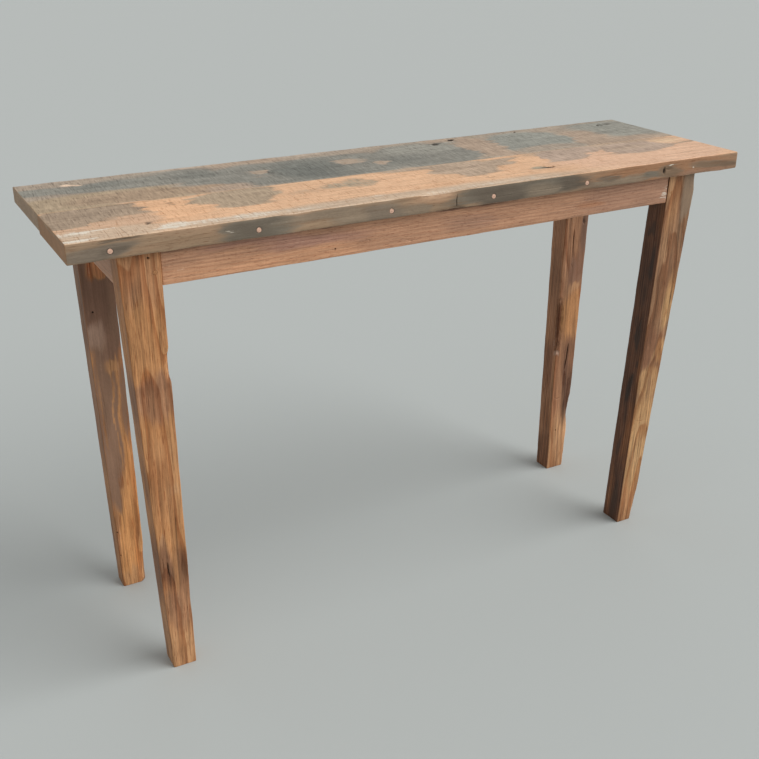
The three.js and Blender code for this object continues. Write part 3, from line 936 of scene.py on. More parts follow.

# %% [markdown]
# ## The front board of the top
#
# This board was planed almost clean. Islands of grey skin are left in its hollows, old white paint along its
# front left edge, and its front edge is stained dark round each plug, where iron once touched the wood. A thin
# ring of painted shade round each plug stands for the gap that it sits in.

# %% Front board
FRONT_TOP = {
    "bare": "orange",
    "skin": "grey",
    "patches": [
        (870, 1230, 180, 370, "salmon", 1.0, 0.20),
        (120, 228, 194, 312, "amber", 1.0, 0.25),
        (-20, 85, 284, 302, "tongue", 1.0, 0.20),
        (80, 150, 250, 312, "tongue", 1.0, 0.25),
        (-20, 130, 300, 370, "cream", 1.0, 0.15),
        (100, 860, 322, 370, "cream", 1.0, 0.16),
        (-20, 146, 180, 284, "grey", 1.0, 0.05),
        (30, 146, 180, 252, "grey", 1.0, 0.05),
        (-30, 34, 262, 283, "grey", 1.0, 0.25),
        (85, 150, 254, 300, "tongue", 1.0, 0.14),
        (60, 90, 268, 300, "tongue", 1.0, 0.25),
        (222, 372, 188, 262, "oval", 1.0, 0.05),
        (236, 340, 230, 284, "oval", 1.0, 0.14),
        (425, 485, 222, 252, "sage", 0.65, 0.30),
        (474, 526, 208, 266, "sage", 0.62, 0.30),
        (380, 420, 236, 262, "oval", 0.4, 0.40),
        (550, 660, 180, 206, "fawn", 0.95, 0.18),
        (636, 764, 186, 262, "fawn", 1.0, 0.10),
        (670, 745, 240, 288, "fawn", 1.0, 0.20),
        (755, 812, 202, 246, "fawn", 0.9, 0.16),
        (640, 700, 200, 240, "grey", 0.5, 0.40),
        (840, 1205, 180, 216, "fawn", 0.85, 0.16),
        (868, 955, 186, 270, "mauve", 1.0, 0.10),
        (950, 1000, 186, 236, "mauve", 1.0, 0.16),
        (998, 1142, 198, 276, "mauve", 1.0, 0.10),
        (1020, 1100, 215, 250, "fawn", 0.6, 0.40),
        (983, 1002, 225, 275, "salmon", 0.9, 0.30),
        (1128, 1194, 196, 234, "straw", 1.0, 0.14),
        (1138, 1225, 238, 246, "grey", 0.9, 0.50),
        (560, 655, 296, 330, "amber", 0.5, 0.40),
        (2, 50, 302, 315, "white", 1.0, 0.45),
        (36, 76, 300, 307, "white", 0.8, 0.45),
        (-20, 22, 296, 330, "white", 0.6, 0.40),
        (0, 64, 300, 326, "thin_white", 0.55, 0.40),
        (2, 60, 341, 352, "white", 1.0, 0.45),
        (128, 182, 318, 350, "white", 0.78, 0.30),
        (165, 250, 322, 346, "white", 0.62, 0.35),
        (230, 330, 322, 352, "thin_white", 0.55, 0.30),
        (320, 430, 330, 354, "thin_white", 0.42, 0.40),
        (470, 500, 318, 330, "thin_white", 0.45, 0.40),
        (520, 830, 336, 352, "thin_white", 0.36, 0.40),
        (122, 131, 300, 316, "soot", 0.7, 0.40),
        (806, 850, 279, 300, "sage", 0.9, 0.30),
        (830, 848, 284, 298, "soot", 0.6, 0.40),
        (703, 717, 299, 313, "soot", 0.45, 0.40),
        (188, 196, 198, 230, "soot", 0.5, 0.35),
        (203, 213, 230, 240, "soot", 0.5, 0.45),
        (130, 168, 219, 225, "soot", 0.42, 0.45),
        (140, 178, 232, 238, "soot", 0.42, 0.45),
        (760, 766, 236, 262, "soot", 0.35, 0.45),
        (798, 806, 215, 232, "soot", 0.35, 0.45),
        (60, 216, 190, 195, "soot", 0.45, 0.40),
    ],
}
FRONT_EDGE = {
    "bare": "edge_tan",
    "skin": "edge_grey",
    "patches": [
        (-10, 96, 8, 27, "edge_grey", 0.9, 0.40),
        (44, 92, 14, 25, "edge_coal", 0.6, 0.45),
        (40, 108, 0, 5, "edge_coal", 0.6, 0.45),
        (110, 225, 0, 14, "edge_glow", 0.35, 0.45),
        (222, 330, -4, 34, "edge_slate", 0.9, 0.40),
        (240, 300, 4, 28, "edge_coal", 0.4, 0.45),
        (320, 460, 2, 20, "edge_dun", 0.8, 0.35),
        (400, 540, 14, 34, "edge_dun", 0.8, 0.30),
        (455, 515, 0, 34, "edge_grey", 0.75, 0.30),
        (520, 560, 8, 30, "edge_dun", 0.7, 0.30),
        (600, 900, 5, 27, "edge_slate", 1.0, 0.20),
        (615, 880, -4, 12, "edge_slate", 0.8, 0.18),
        (640, 740, 0, 34, "edge_coal", 0.85, 0.25),
        (800, 882, 4, 28, "edge_coal", 0.95, 0.25),
        (740, 800, 10, 30, "edge_dun", 0.55, 0.35),
        (870, 1225, -4, 34, "edge_rust", 1.0, 0.06),
        (880, 1000, 16, 32, "edge_dun", 0.8, 0.30),
        (890, 935, 9, 17, "edge_coal", 0.6, 0.40),
        (990, 1046, 15, 27, "edge_slate", 0.95, 0.40),
        (1036, 1076, 8, 30, "edge_bark", 0.85, 0.40),
        (1095, 1215, 9, 22, "edge_bark", 0.8, 0.40),
        (1050, 1200, 22, 32, "edge_pink", 0.7, 0.30),
        (528, 611, -2, 10, "edge_glow", 1.0, 0.35),
        (300, 350, -2, 4, "edge_glow", 0.5, 0.4),
        (40, 100, 2, 6, "soot", 0.5, 0.4),
        (250, 300, 10, 26, "soot", 0.25, 0.4),
        (676, 700, 8, 28, "soot", 0.25, 0.4),
        (840, 868, 8, 26, "soot", 0.25, 0.4),
        (606, 616, 20, 31, "soot", 0.4, 0.45),
        (1054, 1066, 8, 11, "white", 0.7, 0.4),
        (1100, 1104, 18, 22, "white", 0.8, 0.4),
        (234, 242, 12, 16, "thin_white", 0.4, 0.4),
    ],
}
TONES.update({
    "edge_tan": (BARE, (150, 126, 102)),
    "edge_glow": (BARE, (176, 143, 115)),
    "edge_rust": (BARE, (150, 112, 83)),
    "edge_pink": (BARE, (150, 120, 100)),
    "edge_grey": (SKIN, (122, 109, 95)),
    "edge_slate": (SKIN, (110, 102, 90)),
    "edge_coal": (SKIN, (94, 84, 73)),
    "edge_dun": (SKIN, (140, 123, 104)),
    "edge_bark": (SKIN, (116, 94, 74)),
    "end_brown": (BARE, (174, 134, 100)),
    "end_dark": (SKIN, (150, 118, 92)),
})
FRONT_MARKS = [
    hollow(TOP, (829, 290), (19, 9), 1.2, turn=8, steep=2.0),
    hollow(TOP, (838, 291), (9, 6), 3.4, turn=8, steep=2.4),
    hollow(TOP, (126, 308), (6, 3), 1.4, turn=80),
    hollow(TOP, (710, 306), (5.5, 4.5), 1.2),
    hollow(TOP, (192, 214), (14, 3.2), 1.1, turn=86),
    hollow(TOP, (208, 235), (4, 3.5), 0.8),
    crack(TOP, [(132, 223), (150, 222), (166, 220)], 1.6, 0.8),
    crack(TOP, [(140, 236), (158, 235), (176, 233)], 1.6, 0.8),
    crack(TOP, [(96, 193), (150, 194), (212, 193)], 1.1, 0.7),
    crack(TOP, [(1138, 240), (1170, 242), (1210, 243)], 1.4, 0.8),
    crack(NEAR_FRONT, [(612, 6), (610.5, 16), (611, 24), (610, 31)], 1.3, 1.7),
    hollow(NEAR_FRONT, (611, 30.5), (6, 4.5), 3.0, steep=2, dirt_and_shade=0.5),
    hollow(NEAR_FRONT, (1038, 16), (3.6, 7), 2.6, steep=2),
    hollow(NEAR_FRONT, (1048, 14), (9, 3), 1.1, steep=2),
    crack(NEAR_FRONT, [(44, 3.6), (70, 3.0), (99, 3.8)], 1.2, 1.0),
    crack(NEAR_FRONT, [(640, 21), (760, 18), (860, 20)], 0.9, 0.5),
    crack(NEAR_FRONT, [(890, 14), (930, 11), (960, 12)], 1.4, 0.6),
    crack(NEAR_FRONT, [(218, 17), (224, 11), (230, 14)], 0.9, 0.5),
]
# Round each plug a shallow dip is carved and painted dark: painted shade of the thin gap round the plug.
RIM = 5.2  # the radius in mm of the dark ring round a plug
FRONT_CUTS = (
    (162, 240, 282), (220, 310, 342), (255, 332, 355), (275, 300, 342), (368, 268, 290), (415, 200, 250),
    (445, 188, 235), (448, 314, 332), (543, 205, 262), (762, 238, 262), (86, 305, 345), (415, 296, 330),
    (172, 310, 330), (700, 315, 335),
)
for along, start, end in FRONT_CUTS:
    FRONT_MARKS.append(saw_cut(TOP, along, start, end, 0.9))
for node in plug_nodes:
    along, _, down = unbend_top((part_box(node)[0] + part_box(node)[1]) / 2)
    FRONT_MARKS.append(hollow(NEAR_FRONT, (along, down), (RIM, RIM), 0.35, steep=8, dirt_and_shade=4.0))

FRONT_END = {**BOARD_END, "bare": "end_brown", "skin": "end_dark"}
front_under = (front_high.z - front_low.z) / MM
make_board(
    "top_front_board",
    (0, DEPTH - (front_high.y - front_low.y) / MM, 0),
    (LENGTH, DEPTH, front_under),
    (430, 58, 9),
    FRONT_MARKS,
    [
        (1, 0, 20, 430, 0.6, 5.0),
        (1, 0, 440, 545, 0.4, 4.0),
        (1, 0, 545, 614, 2.6, 10.0),
        (1, 0, 300, 350, 1.0, 6.0),
        (1, 0, 1120, 1190, 0.5, 4.0),
        (1, 1, 0, 1210, 0.4, 4.0),
        (1, 1, 596, 626, 1.6, 7.0),
    ],
    {TOP: FRONT_TOP, NEAR_FRONT: FRONT_EDGE, LEFT_END: FRONT_END, "other": BOARD_HIDDEN},
    [rod_along(node, FIT, FIT) for node in dowel_nodes + plug_nodes],
)

# %% [markdown]
# ## The four legs
#
# Each leg was cut from its own piece of old timber, so no two share a colour. The carving is done on a
# straight post, which is then bent to the taper that the frame gives: its faces at the head and at the foot
# are read from the frame's own leg. Distances on a leg run down from its head.

# %% Legs
TONES.update({
    "honey": (BARE, (179, 129, 86)),
    "sand": (BARE, (185, 142, 104)),
    "toast": (BARE, (158, 116, 87)),
    "cocoa": (BARE, (124, 89, 67)),
    "russet": (BARE, (201, 144, 93)),
    "knot_red": (BARE, (188, 128, 88)),
    "tan": (BARE, (145, 109, 81)),
    "wheat": (BARE, (184, 143, 100)),
    "wheat_light": (BARE, (200, 158, 114)),
    "tobacco": (BARE, (123, 85, 62)),
    # The dark brown below is dark wood on the legs, and painted shadow along the top of the front apron.
    "bark": (BARE, (98, 70, 55)),
    "walnut": (BARE, (105, 73, 55)),
    "ember": (BARE, (136, 92, 61)),
    "plum": (SKIN, (128, 97, 80)),
    "ash": (SKIN, (168, 138, 120)),
    "smoke": (SKIN, (138, 108, 88)),
    "putty": (SKIN, (138, 116, 96)),
})
FACE, LEFT_FACE, RIGHT_FACE = (2, 0), (1, 0), (1, 1)

LEGS = {
    "front_left_leg": {
        "seed": 2.0,
        "marks": [
            nail_hole(FACE, 10, 45),
            crack(FACE, [(518, 18), (530, 17), (546, 18)], 1.7, 2.2),
            crack(FACE, [(505, 6), (520, 8), (533, 7)], 1.2, 0.8),
            hollow(FACE, (548, 50), (9, 3), 0.6),
            crack(RIGHT_FACE, [(250, 20), (330, 22)], 1.4, 1.4),
            crack(LEFT_FACE, [(80, 22), (190, 20)], 1.3, 1.2),
        ],
        "worn": [(1, 0, 150, 206, 3.8, 13.0), (0, 0, 640, 735, 0.8, 5.0), (1, 0, 560, 640, 1.0, 6.0)],
        "sides": {
            FACE: {"bare": "honey", "skin": "plum", "patches": [
                (-10, 75, -5, 70, "toast", 0.55, 0.5), (40, 82, 13, 24, "cocoa", 0.45, 0.5),
                (196, 268, -5, 70, "toast", 0.9, 0.35), (300, 430, -5, 70, "sand", 0.3, 0.4),
                (205, 225, 5, 60, "cocoa", 0.35, 0.5), (382, 402, 40, 66, "sand", 0.6, 0.4),
                (484, 500, 0, 20, "sand", 0.8, 0.5), (492, 562, -5, 30, "cocoa", 0.9, 0.35),
                (495, 580, 36, 66, "cocoa", 0.8, 0.35), (585, 614, 8, 38, "cocoa", 0.6, 0.5),
                (560, 660, -5, 70, "toast", 0.8, 0.5), (655, 740, -5, 70, "sand", 0.65, 0.35),
                (520, 545, 14, 22, "soot", 0.5, 0.5), (515, 565, 42, 58, "soot", 0.35, 0.5)]},
            "other": {"bare": "honey", "skin": "plum", "patches": [
                (180, 290, -5, 70, "toast", 0.8, 0.4), (480, 600, -5, 50, "cocoa", 0.7, 0.4),
                (620, 740, -5, 70, "sand", 0.7, 0.4), (330, 420, 10, 30, "tobacco", 0.5, 0.5)]},
        },
    },
    "rear_left_leg": {
        "seed": 3.0,
        "marks": [
            nail_hole(FACE, 185, 15, 1.8),
            hollow(FACE, (105, 31), (10, 7), 0.6, steep=2, dirt_and_shade=0.3),
            crack(FACE, [(590, 44), (660, 45), (722, 43)], 0.9, 1.1),
            nail_hole(FACE, 615, 3, 1.6),
            nail_hole(FACE, 665, 4, 1.6),
            nail_hole(LEFT_FACE, 617, 4, 1.6),
            crack(FACE, [(300, 9), (360, 13), (440, 12)], 1.2, 0.8),
            crack(LEFT_FACE, [(150, 20), (240, 22)], 1.3, 1.0),
        ],
        "worn": [(1, 0, 650, 850, 5.0, 16.0), (0, 0, 560, 780, 1.2, 6.0), (1, 0, 100, 300, 0.8, 5.0)],
        "sides": {
            FACE: {"bare": "russet", "skin": "plum", "patches": [
                (-10, 290, -5, 65, "plum", 0.95, 0.18), (86, 130, 18, 46, "knot_red", 1.0, 0.5),
                (70, 86, 14, 50, "cocoa", 0.7, 0.5),
                (210, 258, -5, 30, "ash", 0.9, 0.5), (150, 250, 40, 60, "smoke", 0.6, 0.5),
                (255, 520, -5, 44, "smoke", 0.85, 0.35), (274, 300, 24, 62, "sand", 0.6, 0.45),
                (470, 580, -5, 22, "smoke", 0.8, 0.4), (300, 440, 6, 12, "russet", 0.35, 0.45),
                (300, 520, 30, 34, "russet", 0.45, 0.45), (310, 540, 38, 43, "russet", 0.5, 0.45),
                (290, 430, 46, 62, "smoke", 0.7, 0.45), (560, 680, -3, 8, "cocoa", 0.7, 0.5),
                (600, 650, 46, 62, "sand", 0.4, 0.5), (700, 740, -5, 65, "sand", 0.5, 0.5),
                (175, 200, 8, 22, "soot", 0.35, 0.5)]},
            "other": {"bare": "tan", "skin": "plum", "patches": [
                (120, 270, -5, 30, "cocoa", 0.7, 0.4), (300, 460, 10, 50, "toast", 0.7, 0.4),
                (470, 740, -5, 50, "honey", 0.75, 0.3), (60, 110, 10, 40, "plum", 0.7, 0.4)]},
        },
    },
    "front_right_leg": {
        "seed": 4.0,
        "marks": [
            crack(FACE, [(496, 12), (498, 26), (496, 42)], 1.0, 0.9),
            hollow(FACE, (334, 18), (9, 4), 0.5, turn=10),
            crack(FACE, [(150, 50), (172, 53), (180, 52)], 1.3, 0.8),
            crack(LEFT_FACE, [(255, 18), (300, 21), (330, 20)], 1.3, 1.2),
            crack(LEFT_FACE, [(395, 20), (420, 23), (445, 22)], 1.5, 1.3),
            crack(LEFT_FACE, [(600, 14), (650, 19), (700, 20)], 1.3, 1.2),
            crack(LEFT_FACE, [(60, 18), (110, 16)], 1.2, 0.9),
        ],
        "worn": [(1, 0, -30, 34, 2.4, 9.0), (1, 0, 660, 860, 3.4, 12.0), (0, 0, 300, 500, 0.6, 4.0)],
        "sides": {
            FACE: {"bare": "tan", "skin": "putty", "patches": [
                (-10, 78, 34, 70, "putty", 1.0, 0.18), (-10, 40, -5, 12, "sand", 0.8, 0.5),
                (5, 110, 8, 30, "honey", 0.45, 0.5), (120, 160, 6, 30, "sand", 0.35, 0.5),
                (150, 230, 30, 70, "toast", 0.35, 0.5), (205, 312, 40, 62, "wheat", 1.0, 0.40),
                (296, 385, -5, 36, "tobacco", 0.85, 0.35), (310, 345, 40, 58, "toast", 0.6, 0.5),
                (340, 372, 36, 70, "wheat", 0.85, 0.4), (385, 440, -5, 70, "wheat", 0.75, 0.35),
                (400, 470, 34, 42, "toast", 0.6, 0.5), (440, 660, -5, 70, "wheat", 1.0, 0.22),
                (500, 600, 10, 60, "wheat_light", 0.7, 0.45),
                (560, 600, -5, 30, "toast", 0.2, 0.5), (640, 740, -5, 70, "honey", 0.55, 0.4),
                (60, 76, 44, 60, "soot", 0.25, 0.5)]},
            LEFT_FACE: {"bare": "walnut", "skin": "plum", "patches": [
                (10, 70, 22, 32, "soot", 0.6, 0.5), (96, 120, 20, 34, "soot", 0.6, 0.5),
                (40, 110, 2, 14, "ember", 0.6, 0.4), (150, 262, 12, 34, "bark", 0.9, 0.4),
                (130, 205, 8, 24, "soot", 0.7, 0.5), (215, 262, 14, 26, "soot", 0.5, 0.5),
                (284, 345, 16, 28, "soot", 0.75, 0.5), (272, 300, 26, 36, "soot", 0.5, 0.5),
                (366, 384, 10, 20, "soot", 0.6, 0.5), (404, 470, 18, 30, "soot", 0.85, 0.5),
                (350, 450, 0, 12, "ember", 0.9, 0.4), (470, 600, 0, 16, "ember", 0.9, 0.4),
                (470, 510, 20, 28, "soot", 0.5, 0.5), (530, 585, 20, 34, "soot", 0.6, 0.5),
                (600, 740, 4, 36, "bark", 0.9, 0.4), (625, 730, 10, 26, "soot", 0.6, 0.5),
                (600, 735, 28, 40, "ember", 0.6, 0.4)]},
            "other": {"bare": "tan", "skin": "plum", "patches": [
                (100, 280, -5, 70, "toast", 0.7, 0.4), (300, 380, -5, 30, "tobacco", 0.8, 0.4),
                (400, 660, -5, 70, "wheat", 0.7, 0.3)]},
        },
    },
    "rear_right_leg": {
        "seed": 5.0,
        "marks": [
            crack(FACE, [(176, 25), (205, 25), (240, 27)], 1.5, 2.6),
            crack(FACE, [(252, 24), (262, 28)], 1.4, 1.0),
            crack(FACE, [(434, 38), (452, 37), (470, 36), (494, 32)], 2.2, 2.8),
            crack(FACE, [(498, 34), (512, 33)], 1.5, 1.0),
            crack(FACE, [(560, 8), (562, 16), (560, 26)], 1.3, 1.6),
            hollow(FACE, (165, 49), (7, 4), 1.6, turn=20),
            nail_hole(FACE, 640, 22, 2.0),
            hollow(FACE, (552, 52), (52, 9), 1.6, steep=2, dirt_and_shade=0.35),
            hollow(FACE, (388, 1), (72, 13), 4.6, steep=2.2, dirt_and_shade=0.05),
            hollow(LEFT_FACE, (390, 1), (72, 13), 4.6, steep=2.2, dirt_and_shade=0.05),
            crack(LEFT_FACE, [(500, 24), (560, 22)], 1.4, 1.2),
        ],
        "worn": [(1, 0, 555, 650, 3.8, 14.0), (1, 0, 600, 900, 2.6, 9.0), (0, 0, 640, 735, 0.8, 5.0)],
        "sides": {
            FACE: {"bare": "toast", "skin": "plum", "patches": [
                (140, 236, 40, 66, "plum", 0.95, 0.3), (236, 322, 16, 66, "plum", 0.6, 0.4),
                (150, 175, 42, 54, "soot", 0.5, 0.5), (296, 322, 22, 56, "sand", 0.7, 0.45),
                (-10, 100, -5, 66, "toast", 0.6, 0.4), (322, 425, 8, 66, "honey", 0.95, 0.25),
                (325, 455, -6, 12, "tobacco", 0.95, 0.3), (452, 468, -6, 12, "ash", 0.8, 0.5),
                (420, 510, 24, 46, "walnut", 0.85, 0.45), (430, 530, 46, 66, "tobacco", 0.7, 0.4),
                (495, 625, 34, 66, "bark", 0.95, 0.3), (470, 545, 28, 40, "bark", 0.7, 0.5),
                (600, 745, -5, 66, "sand", 0.85, 0.4), (570, 720, 30, 35, "tobacco", 0.5, 0.5),
                (520, 600, -5, 20, "toast", 0.6, 0.4)]},
            LEFT_FACE: {"bare": "toast", "skin": "plum", "patches": [
                (325, 455, -8, 14, "tobacco", 0.95, 0.3), (455, 470, -8, 10, "ash", 0.8, 0.5),
                (380, 470, 10, 14, "ash", 0.45, 0.5), (440, 530, 8, 50, "tobacco", 0.75, 0.4),
                (250, 330, 10, 40, "cocoa", 0.35, 0.5), (560, 640, 0, 30, "ember", 0.6, 0.4),
                (650, 745, -5, 50, "tobacco", 0.7, 0.4), (480, 650, -2, 5, "sand", 0.5, 0.5)]},
            "other": {"bare": "toast", "skin": "plum", "patches": [
                (140, 300, 0, 40, "plum", 0.7, 0.4), (420, 560, 10, 60, "tobacco", 0.8, 0.4),
                (560, 740, -5, 66, "sand", 0.5, 0.4)]},
        },
    },
}


def leg_ends(node):
    """The (left, right, front, rear) faces of a frame leg at its foot and its head, and its height."""
    corners = [v.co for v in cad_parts[node].data.vertices]
    height = max(c.z for c in corners)
    ends = []
    for level in (0.0, height):
        across = [c.x for c in corners if abs(c.z - level) < MM]
        deep = [c.y for c in corners if abs(c.z - level) < MM]
        ends.append((min(across), max(across), min(deep), max(deep)))
    return ends[0], ends[1], height


def leg_bend(node):
    """Bends a straight post to its leg, and back, and finds a point's place in the grain.

    Returns these three functions, and the two corners of the straight post."""
    foot, head, height = leg_ends(node)
    wide, deep = (head[1] - head[0]) / MM, (head[3] - head[2]) / MM

    def faces_at(z):
        return [f + (h - f) * z / height for f, h in zip(foot, head)]

    def bend(point):
        z = height - point.x * MM
        left, right, front, rear = faces_at(z)
        return Vector((left + (right - left) * point.y / wide, front + (rear - front) * point.z / deep, z))

    def unbend(point):
        left, right, front, rear = faces_at(point.z)
        across = (point.x - left) / (right - left) * wide
        return ((height - point.z) / MM, across, (point.y - front) / (rear - front) * deep)

    def straight_grain(point):
        return ((height - point.z) / MM, (point.x - head[0]) / MM, (point.y - head[2]) / MM)

    return bend, unbend, straight_grain, Vector((0, 0, 0)), Vector((height / MM, wide, deep))


TENON = 10 * MM  # how thick every tenon is
TENON_FOOT = (7 * MM, 9 * MM)  # from the bottom of a side apron, and of a long one, up to its tenons
MORTISE_TOP = 6.7 * MM  # from the top of an apron down to the mortise
MORTISE_RUN = 5 * MM  # how far past the leg's faces a cutter may reach


def mortise(leg, apron, along_x):
    """The cutter for the tenon of an apron that enters a leg, taken from the frame's apron."""
    leg_low, leg_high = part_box(leg)
    low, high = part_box(apron)
    middle = (low + high) / 2
    top = high.z if along_x else min(high.z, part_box("front_apron")[1].z)
    run, side = (0, 1) if along_x else (1, 0)
    first, last = Vector(), Vector()
    first[run] = max(low[run], leg_low[run] - MORTISE_RUN) - FIT
    last[run] = min(high[run], leg_high[run] + MORTISE_RUN) + FIT
    first[side] = middle[side] - TENON / 2 - FIT
    last[side] = middle[side] + TENON / 2 + FIT
    first.z = low.z + TENON_FOOT[along_x] - FIT
    last.z = top - MORTISE_TOP + FIT
    return block_between(first, last)


for node, leg in LEGS.items():
    corner = node.removesuffix("_leg")
    bend, unbend, straight_grain, low, high = leg_bend(node)
    bm = squared_timber(low, high, (290, 21, 15))
    weather(bm, low, high, 0.35)
    wear_arrises(bm, low, high, leg["worn"])
    carve(bm, low, high, leg["marks"])
    material = wood(
        node.replace("leg", "timber"), leg["seed"], streak=0.9, rings=0.75, saw_on_bare=0.12, flecks=0.75,
        length=110.0, width=1.9, pith=(0.0, 25.0, 130.0), ring_width=5.0, roughness=0.55, sheen=0.2,
    )
    piece = placed(bm, bend, node.replace("leg", "post"), material)
    long_apron = "front_apron" if corner.startswith("front") else "rear_apron"
    side_apron = "left_apron" if corner.endswith("left") else "right_apron"
    cut_holes(piece, [mortise(node, long_apron, True), mortise(node, side_apron, False)])
    cut_holes(piece, [rod_along(corner + "_peg", FIT, FIT)])
    paint(piece, low, high, unbend, leg["sides"], straight_grain, leg["marks"])
    piece.data.set_sharp_from_angle(angle=SHARP)
    hand_over(piece, "leg_wood", node)
    print(node, len(piece.data.polygons), "faces")

# %% [markdown]
# ## The four aprons
#
# The aprons are of one reddish timber, planed but not sanded. The shoulders of the long ones follow the legs'
# slope. All four carry tenons, which are extruded from their end faces. The side aprons step down where the
# thicker front board rests on them.

# %% Aprons
TONES.update({
    "brick": (BARE, (186, 141, 111)),
    "brick_light": (BARE, (200, 150, 115)),
    "brick_plum": (BARE, (168, 127, 109)),
    "brick_dun": (BARE, (170, 130, 106)),
    "glue": (PAINT, None),
})
apron_wood = wood(
    "apron_wood", 6.0, streak=0.5, rings=0.28, saw_on_bare=0.25, flecks=0.75, length=48.0, width=1.3,
    pith=(0.0, 90.0, 60.0), ring_width=4.2, roughness=0.56, sheen=0.35,
)
# The loops along, across and through an apron, how far in mm its tenons stay from its top and its bottom,
# and how long they are.
LONG_APRON = ((300, 22, 8), 7, 9, 29.0)
SIDE_APRON = ((90, 22, 8), 11, 7, 21.0)
APRON_WORN = [(1, 0, 700, 930, 0.6, 4.0)]
SHOULDER_GAP = 0.6  # what an apron's two shoulders leave free in mm


def grow_tenons(bm, low, high, top, bottom, length):
    """Extrudes the middle of both end faces into tenons of the frame's thickness."""
    half = TENON / MM / 2
    middle = (low.z + high.z) / 2
    for end, side in ((low.x, -1), (high.x, 1)):
        def inside(face):
            centre = face.calc_center_median()
            on_end = abs(centre.x - end) < 0.01
            return on_end and top < centre.y < bottom and abs(centre.z - middle) < half
        faces = [f for f in bm.faces if inside(f)]
        grown = bmesh.ops.extrude_face_region(bm, geom=faces)["geom"]
        verts = [v for v in grown if isinstance(v, bmesh.types.BMVert)]
        bmesh.ops.translate(bm, vec=(side * length, 0, 0), verts=verts)
        bmesh.ops.delete(bm, geom=[f for f in faces if f.is_valid], context="FACES")


def long_apron_bend(node, left_leg, right_leg, right_height):
    """An apron along X: u from the left leg to the right one, v down from its top, w from its front."""
    low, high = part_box(node)
    left_foot, left_head, left_height = leg_ends(left_leg)
    right_foot, right_head, right_leg_height = leg_ends(right_leg)
    tall = (high.z - low.z) / MM
    width = (right_head[0] - left_head[1]) / MM - SHOULDER_GAP

    def shoulders(z):
        left = left_foot[1] + (left_head[1] - left_foot[1]) * z / left_height + FIT
        right = right_foot[0] + (right_head[0] - right_foot[0]) * z / right_leg_height - FIT
        return left, right

    def bend(point):
        u, v, w = point
        share = max(0.0, min(1.0, u / width))
        z = high.z - v * MM * (1 + (right_height / tall - 1) * share)
        left, right = shoulders(z)
        x = left + (right - left) * share + (u - share * width) * MM
        return Vector((x, low.y + w * MM, z))

    def unbend(point):
        left, right = shoulders(point.z)
        share = (point.x - left) / (right - left)
        held = max(0.0, min(1.0, share))
        v = (high.z - point.z) / MM / (1 + (right_height / tall - 1) * held)
        return (share * width, v, (point.y - low.y) / MM)

    return bend, unbend, Vector((0, 0, 0)), Vector((width, tall, (high.y - low.y) / MM))


def side_apron_bend(node, front_leg, rear_leg):
    """An apron along Y: u from the front leg to the rear one, v down from its top, w from its left face."""
    low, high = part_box(node)
    front_head, rear_head = leg_ends(front_leg)[1], leg_ends(rear_leg)[1]
    front_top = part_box("front_apron")[1].z
    seam_y = front_high.y + 1 * MM
    start, end = front_head[3] + FIT, rear_head[2] - FIT
    tall = (high.z - low.z) / MM

    def bend(point):
        u, v, w = point
        y = start + u * MM
        z = high.z - v * MM
        return Vector((low.x + w * MM, y, min(z, front_top) if y < seam_y else z))

    def unbend(point):
        return ((point.y - start) / MM, (high.z - point.z) / MM, (point.x - low.x) / MM)

    return bend, unbend, Vector((0, 0, 0)), Vector(((end - start) / MM, tall, (high.x - low.x) / MM))


HIDDEN_APRON = {"bare": "brick", "skin": "plum", "patches": [
    (60, 300, -5, 30, "brick_plum", 0.8, 0.4), (400, 560, 20, 70, "brick_light", 0.8, 0.4),
    (650, 900, -5, 70, "brick_dun", 0.8, 0.3)]}
FRONT_APRON_FACE = {"bare": "brick", "skin": "plum", "patches": [
    (-30, 160, 28, 60, "brick_light", 0.7, 0.4), (120, 320, 30, 60, "brick_light", 0.9, 0.4),
    (58, 210, 2, 18, "brick_plum", 0.8, 0.45), (150, 295, 12, 30, "brick_plum", 0.9, 0.45),
    (240, 330, 18, 32, "brick_plum", 0.5, 0.5), (470, 560, 18, 42, "brick_dun", 0.8, 0.4),
    (560, 660, 20, 60, "brick", 0.8, 0.4), (740, 960, -5, 60, "brick_dun", 0.9, 0.25),
    (740, 782, 28, 38, "knot_red", 0.5, 0.5), (25, 38, 26, 40, "thin_white", 0.28, 0.5),
    (316, 334, 29, 40, "cocoa", 0.2, 0.5), (926, 940, 2, 26, "glue", 0.45, 0.45),
    (922, 940, 24, 50, "glue", 0.5, 0.45), (270, 277, 38, 44, "soot", 0.3, 0.5),
    # A dark strip along the top of the apron: painted shadow under the overhanging top.
    (-10, 950, -3, 4, "bark", 0.8, 0.5)]}
FRONT_APRON_MARKS = [
    nail_hole(FACE, 273, 41, 1.6),
    crack(FACE, [(318, 38), (326, 33), (333, 36), (328, 40)], 1.2, 0.8),
    crack(FACE, [(385, 41), (400, 45), (413, 51)], 1.1, 0.9),
    crack(FACE, [(470, 27), (510, 30), (545, 32), (572, 35)], 1.1, 0.8),
    crack(FACE, [(60, 8), (120, 12), (200, 16), (270, 22)], 1.0, 0.5),
    crack(FACE, [(690, 36), (730, 38)], 1.0, 0.5),
    crack(FACE, [(820, 20), (880, 22)], 1.0, 0.5),
    hollow(FACE, (870, 51), (20, 4), 0.8, steep=2, dirt_and_shade=0.4),
]
APRONS = {
    "front_apron": ("front_left_leg", "front_right_leg", 51.0, FRONT_APRON_FACE, FRONT_APRON_MARKS),
    "rear_apron": ("rear_left_leg", "rear_right_leg", 55.0, HIDDEN_APRON, []),
    "left_apron": ("front_left_leg", "rear_left_leg", None, HIDDEN_APRON, []),
    "right_apron": ("front_right_leg", "rear_right_leg", None, HIDDEN_APRON, []),
}
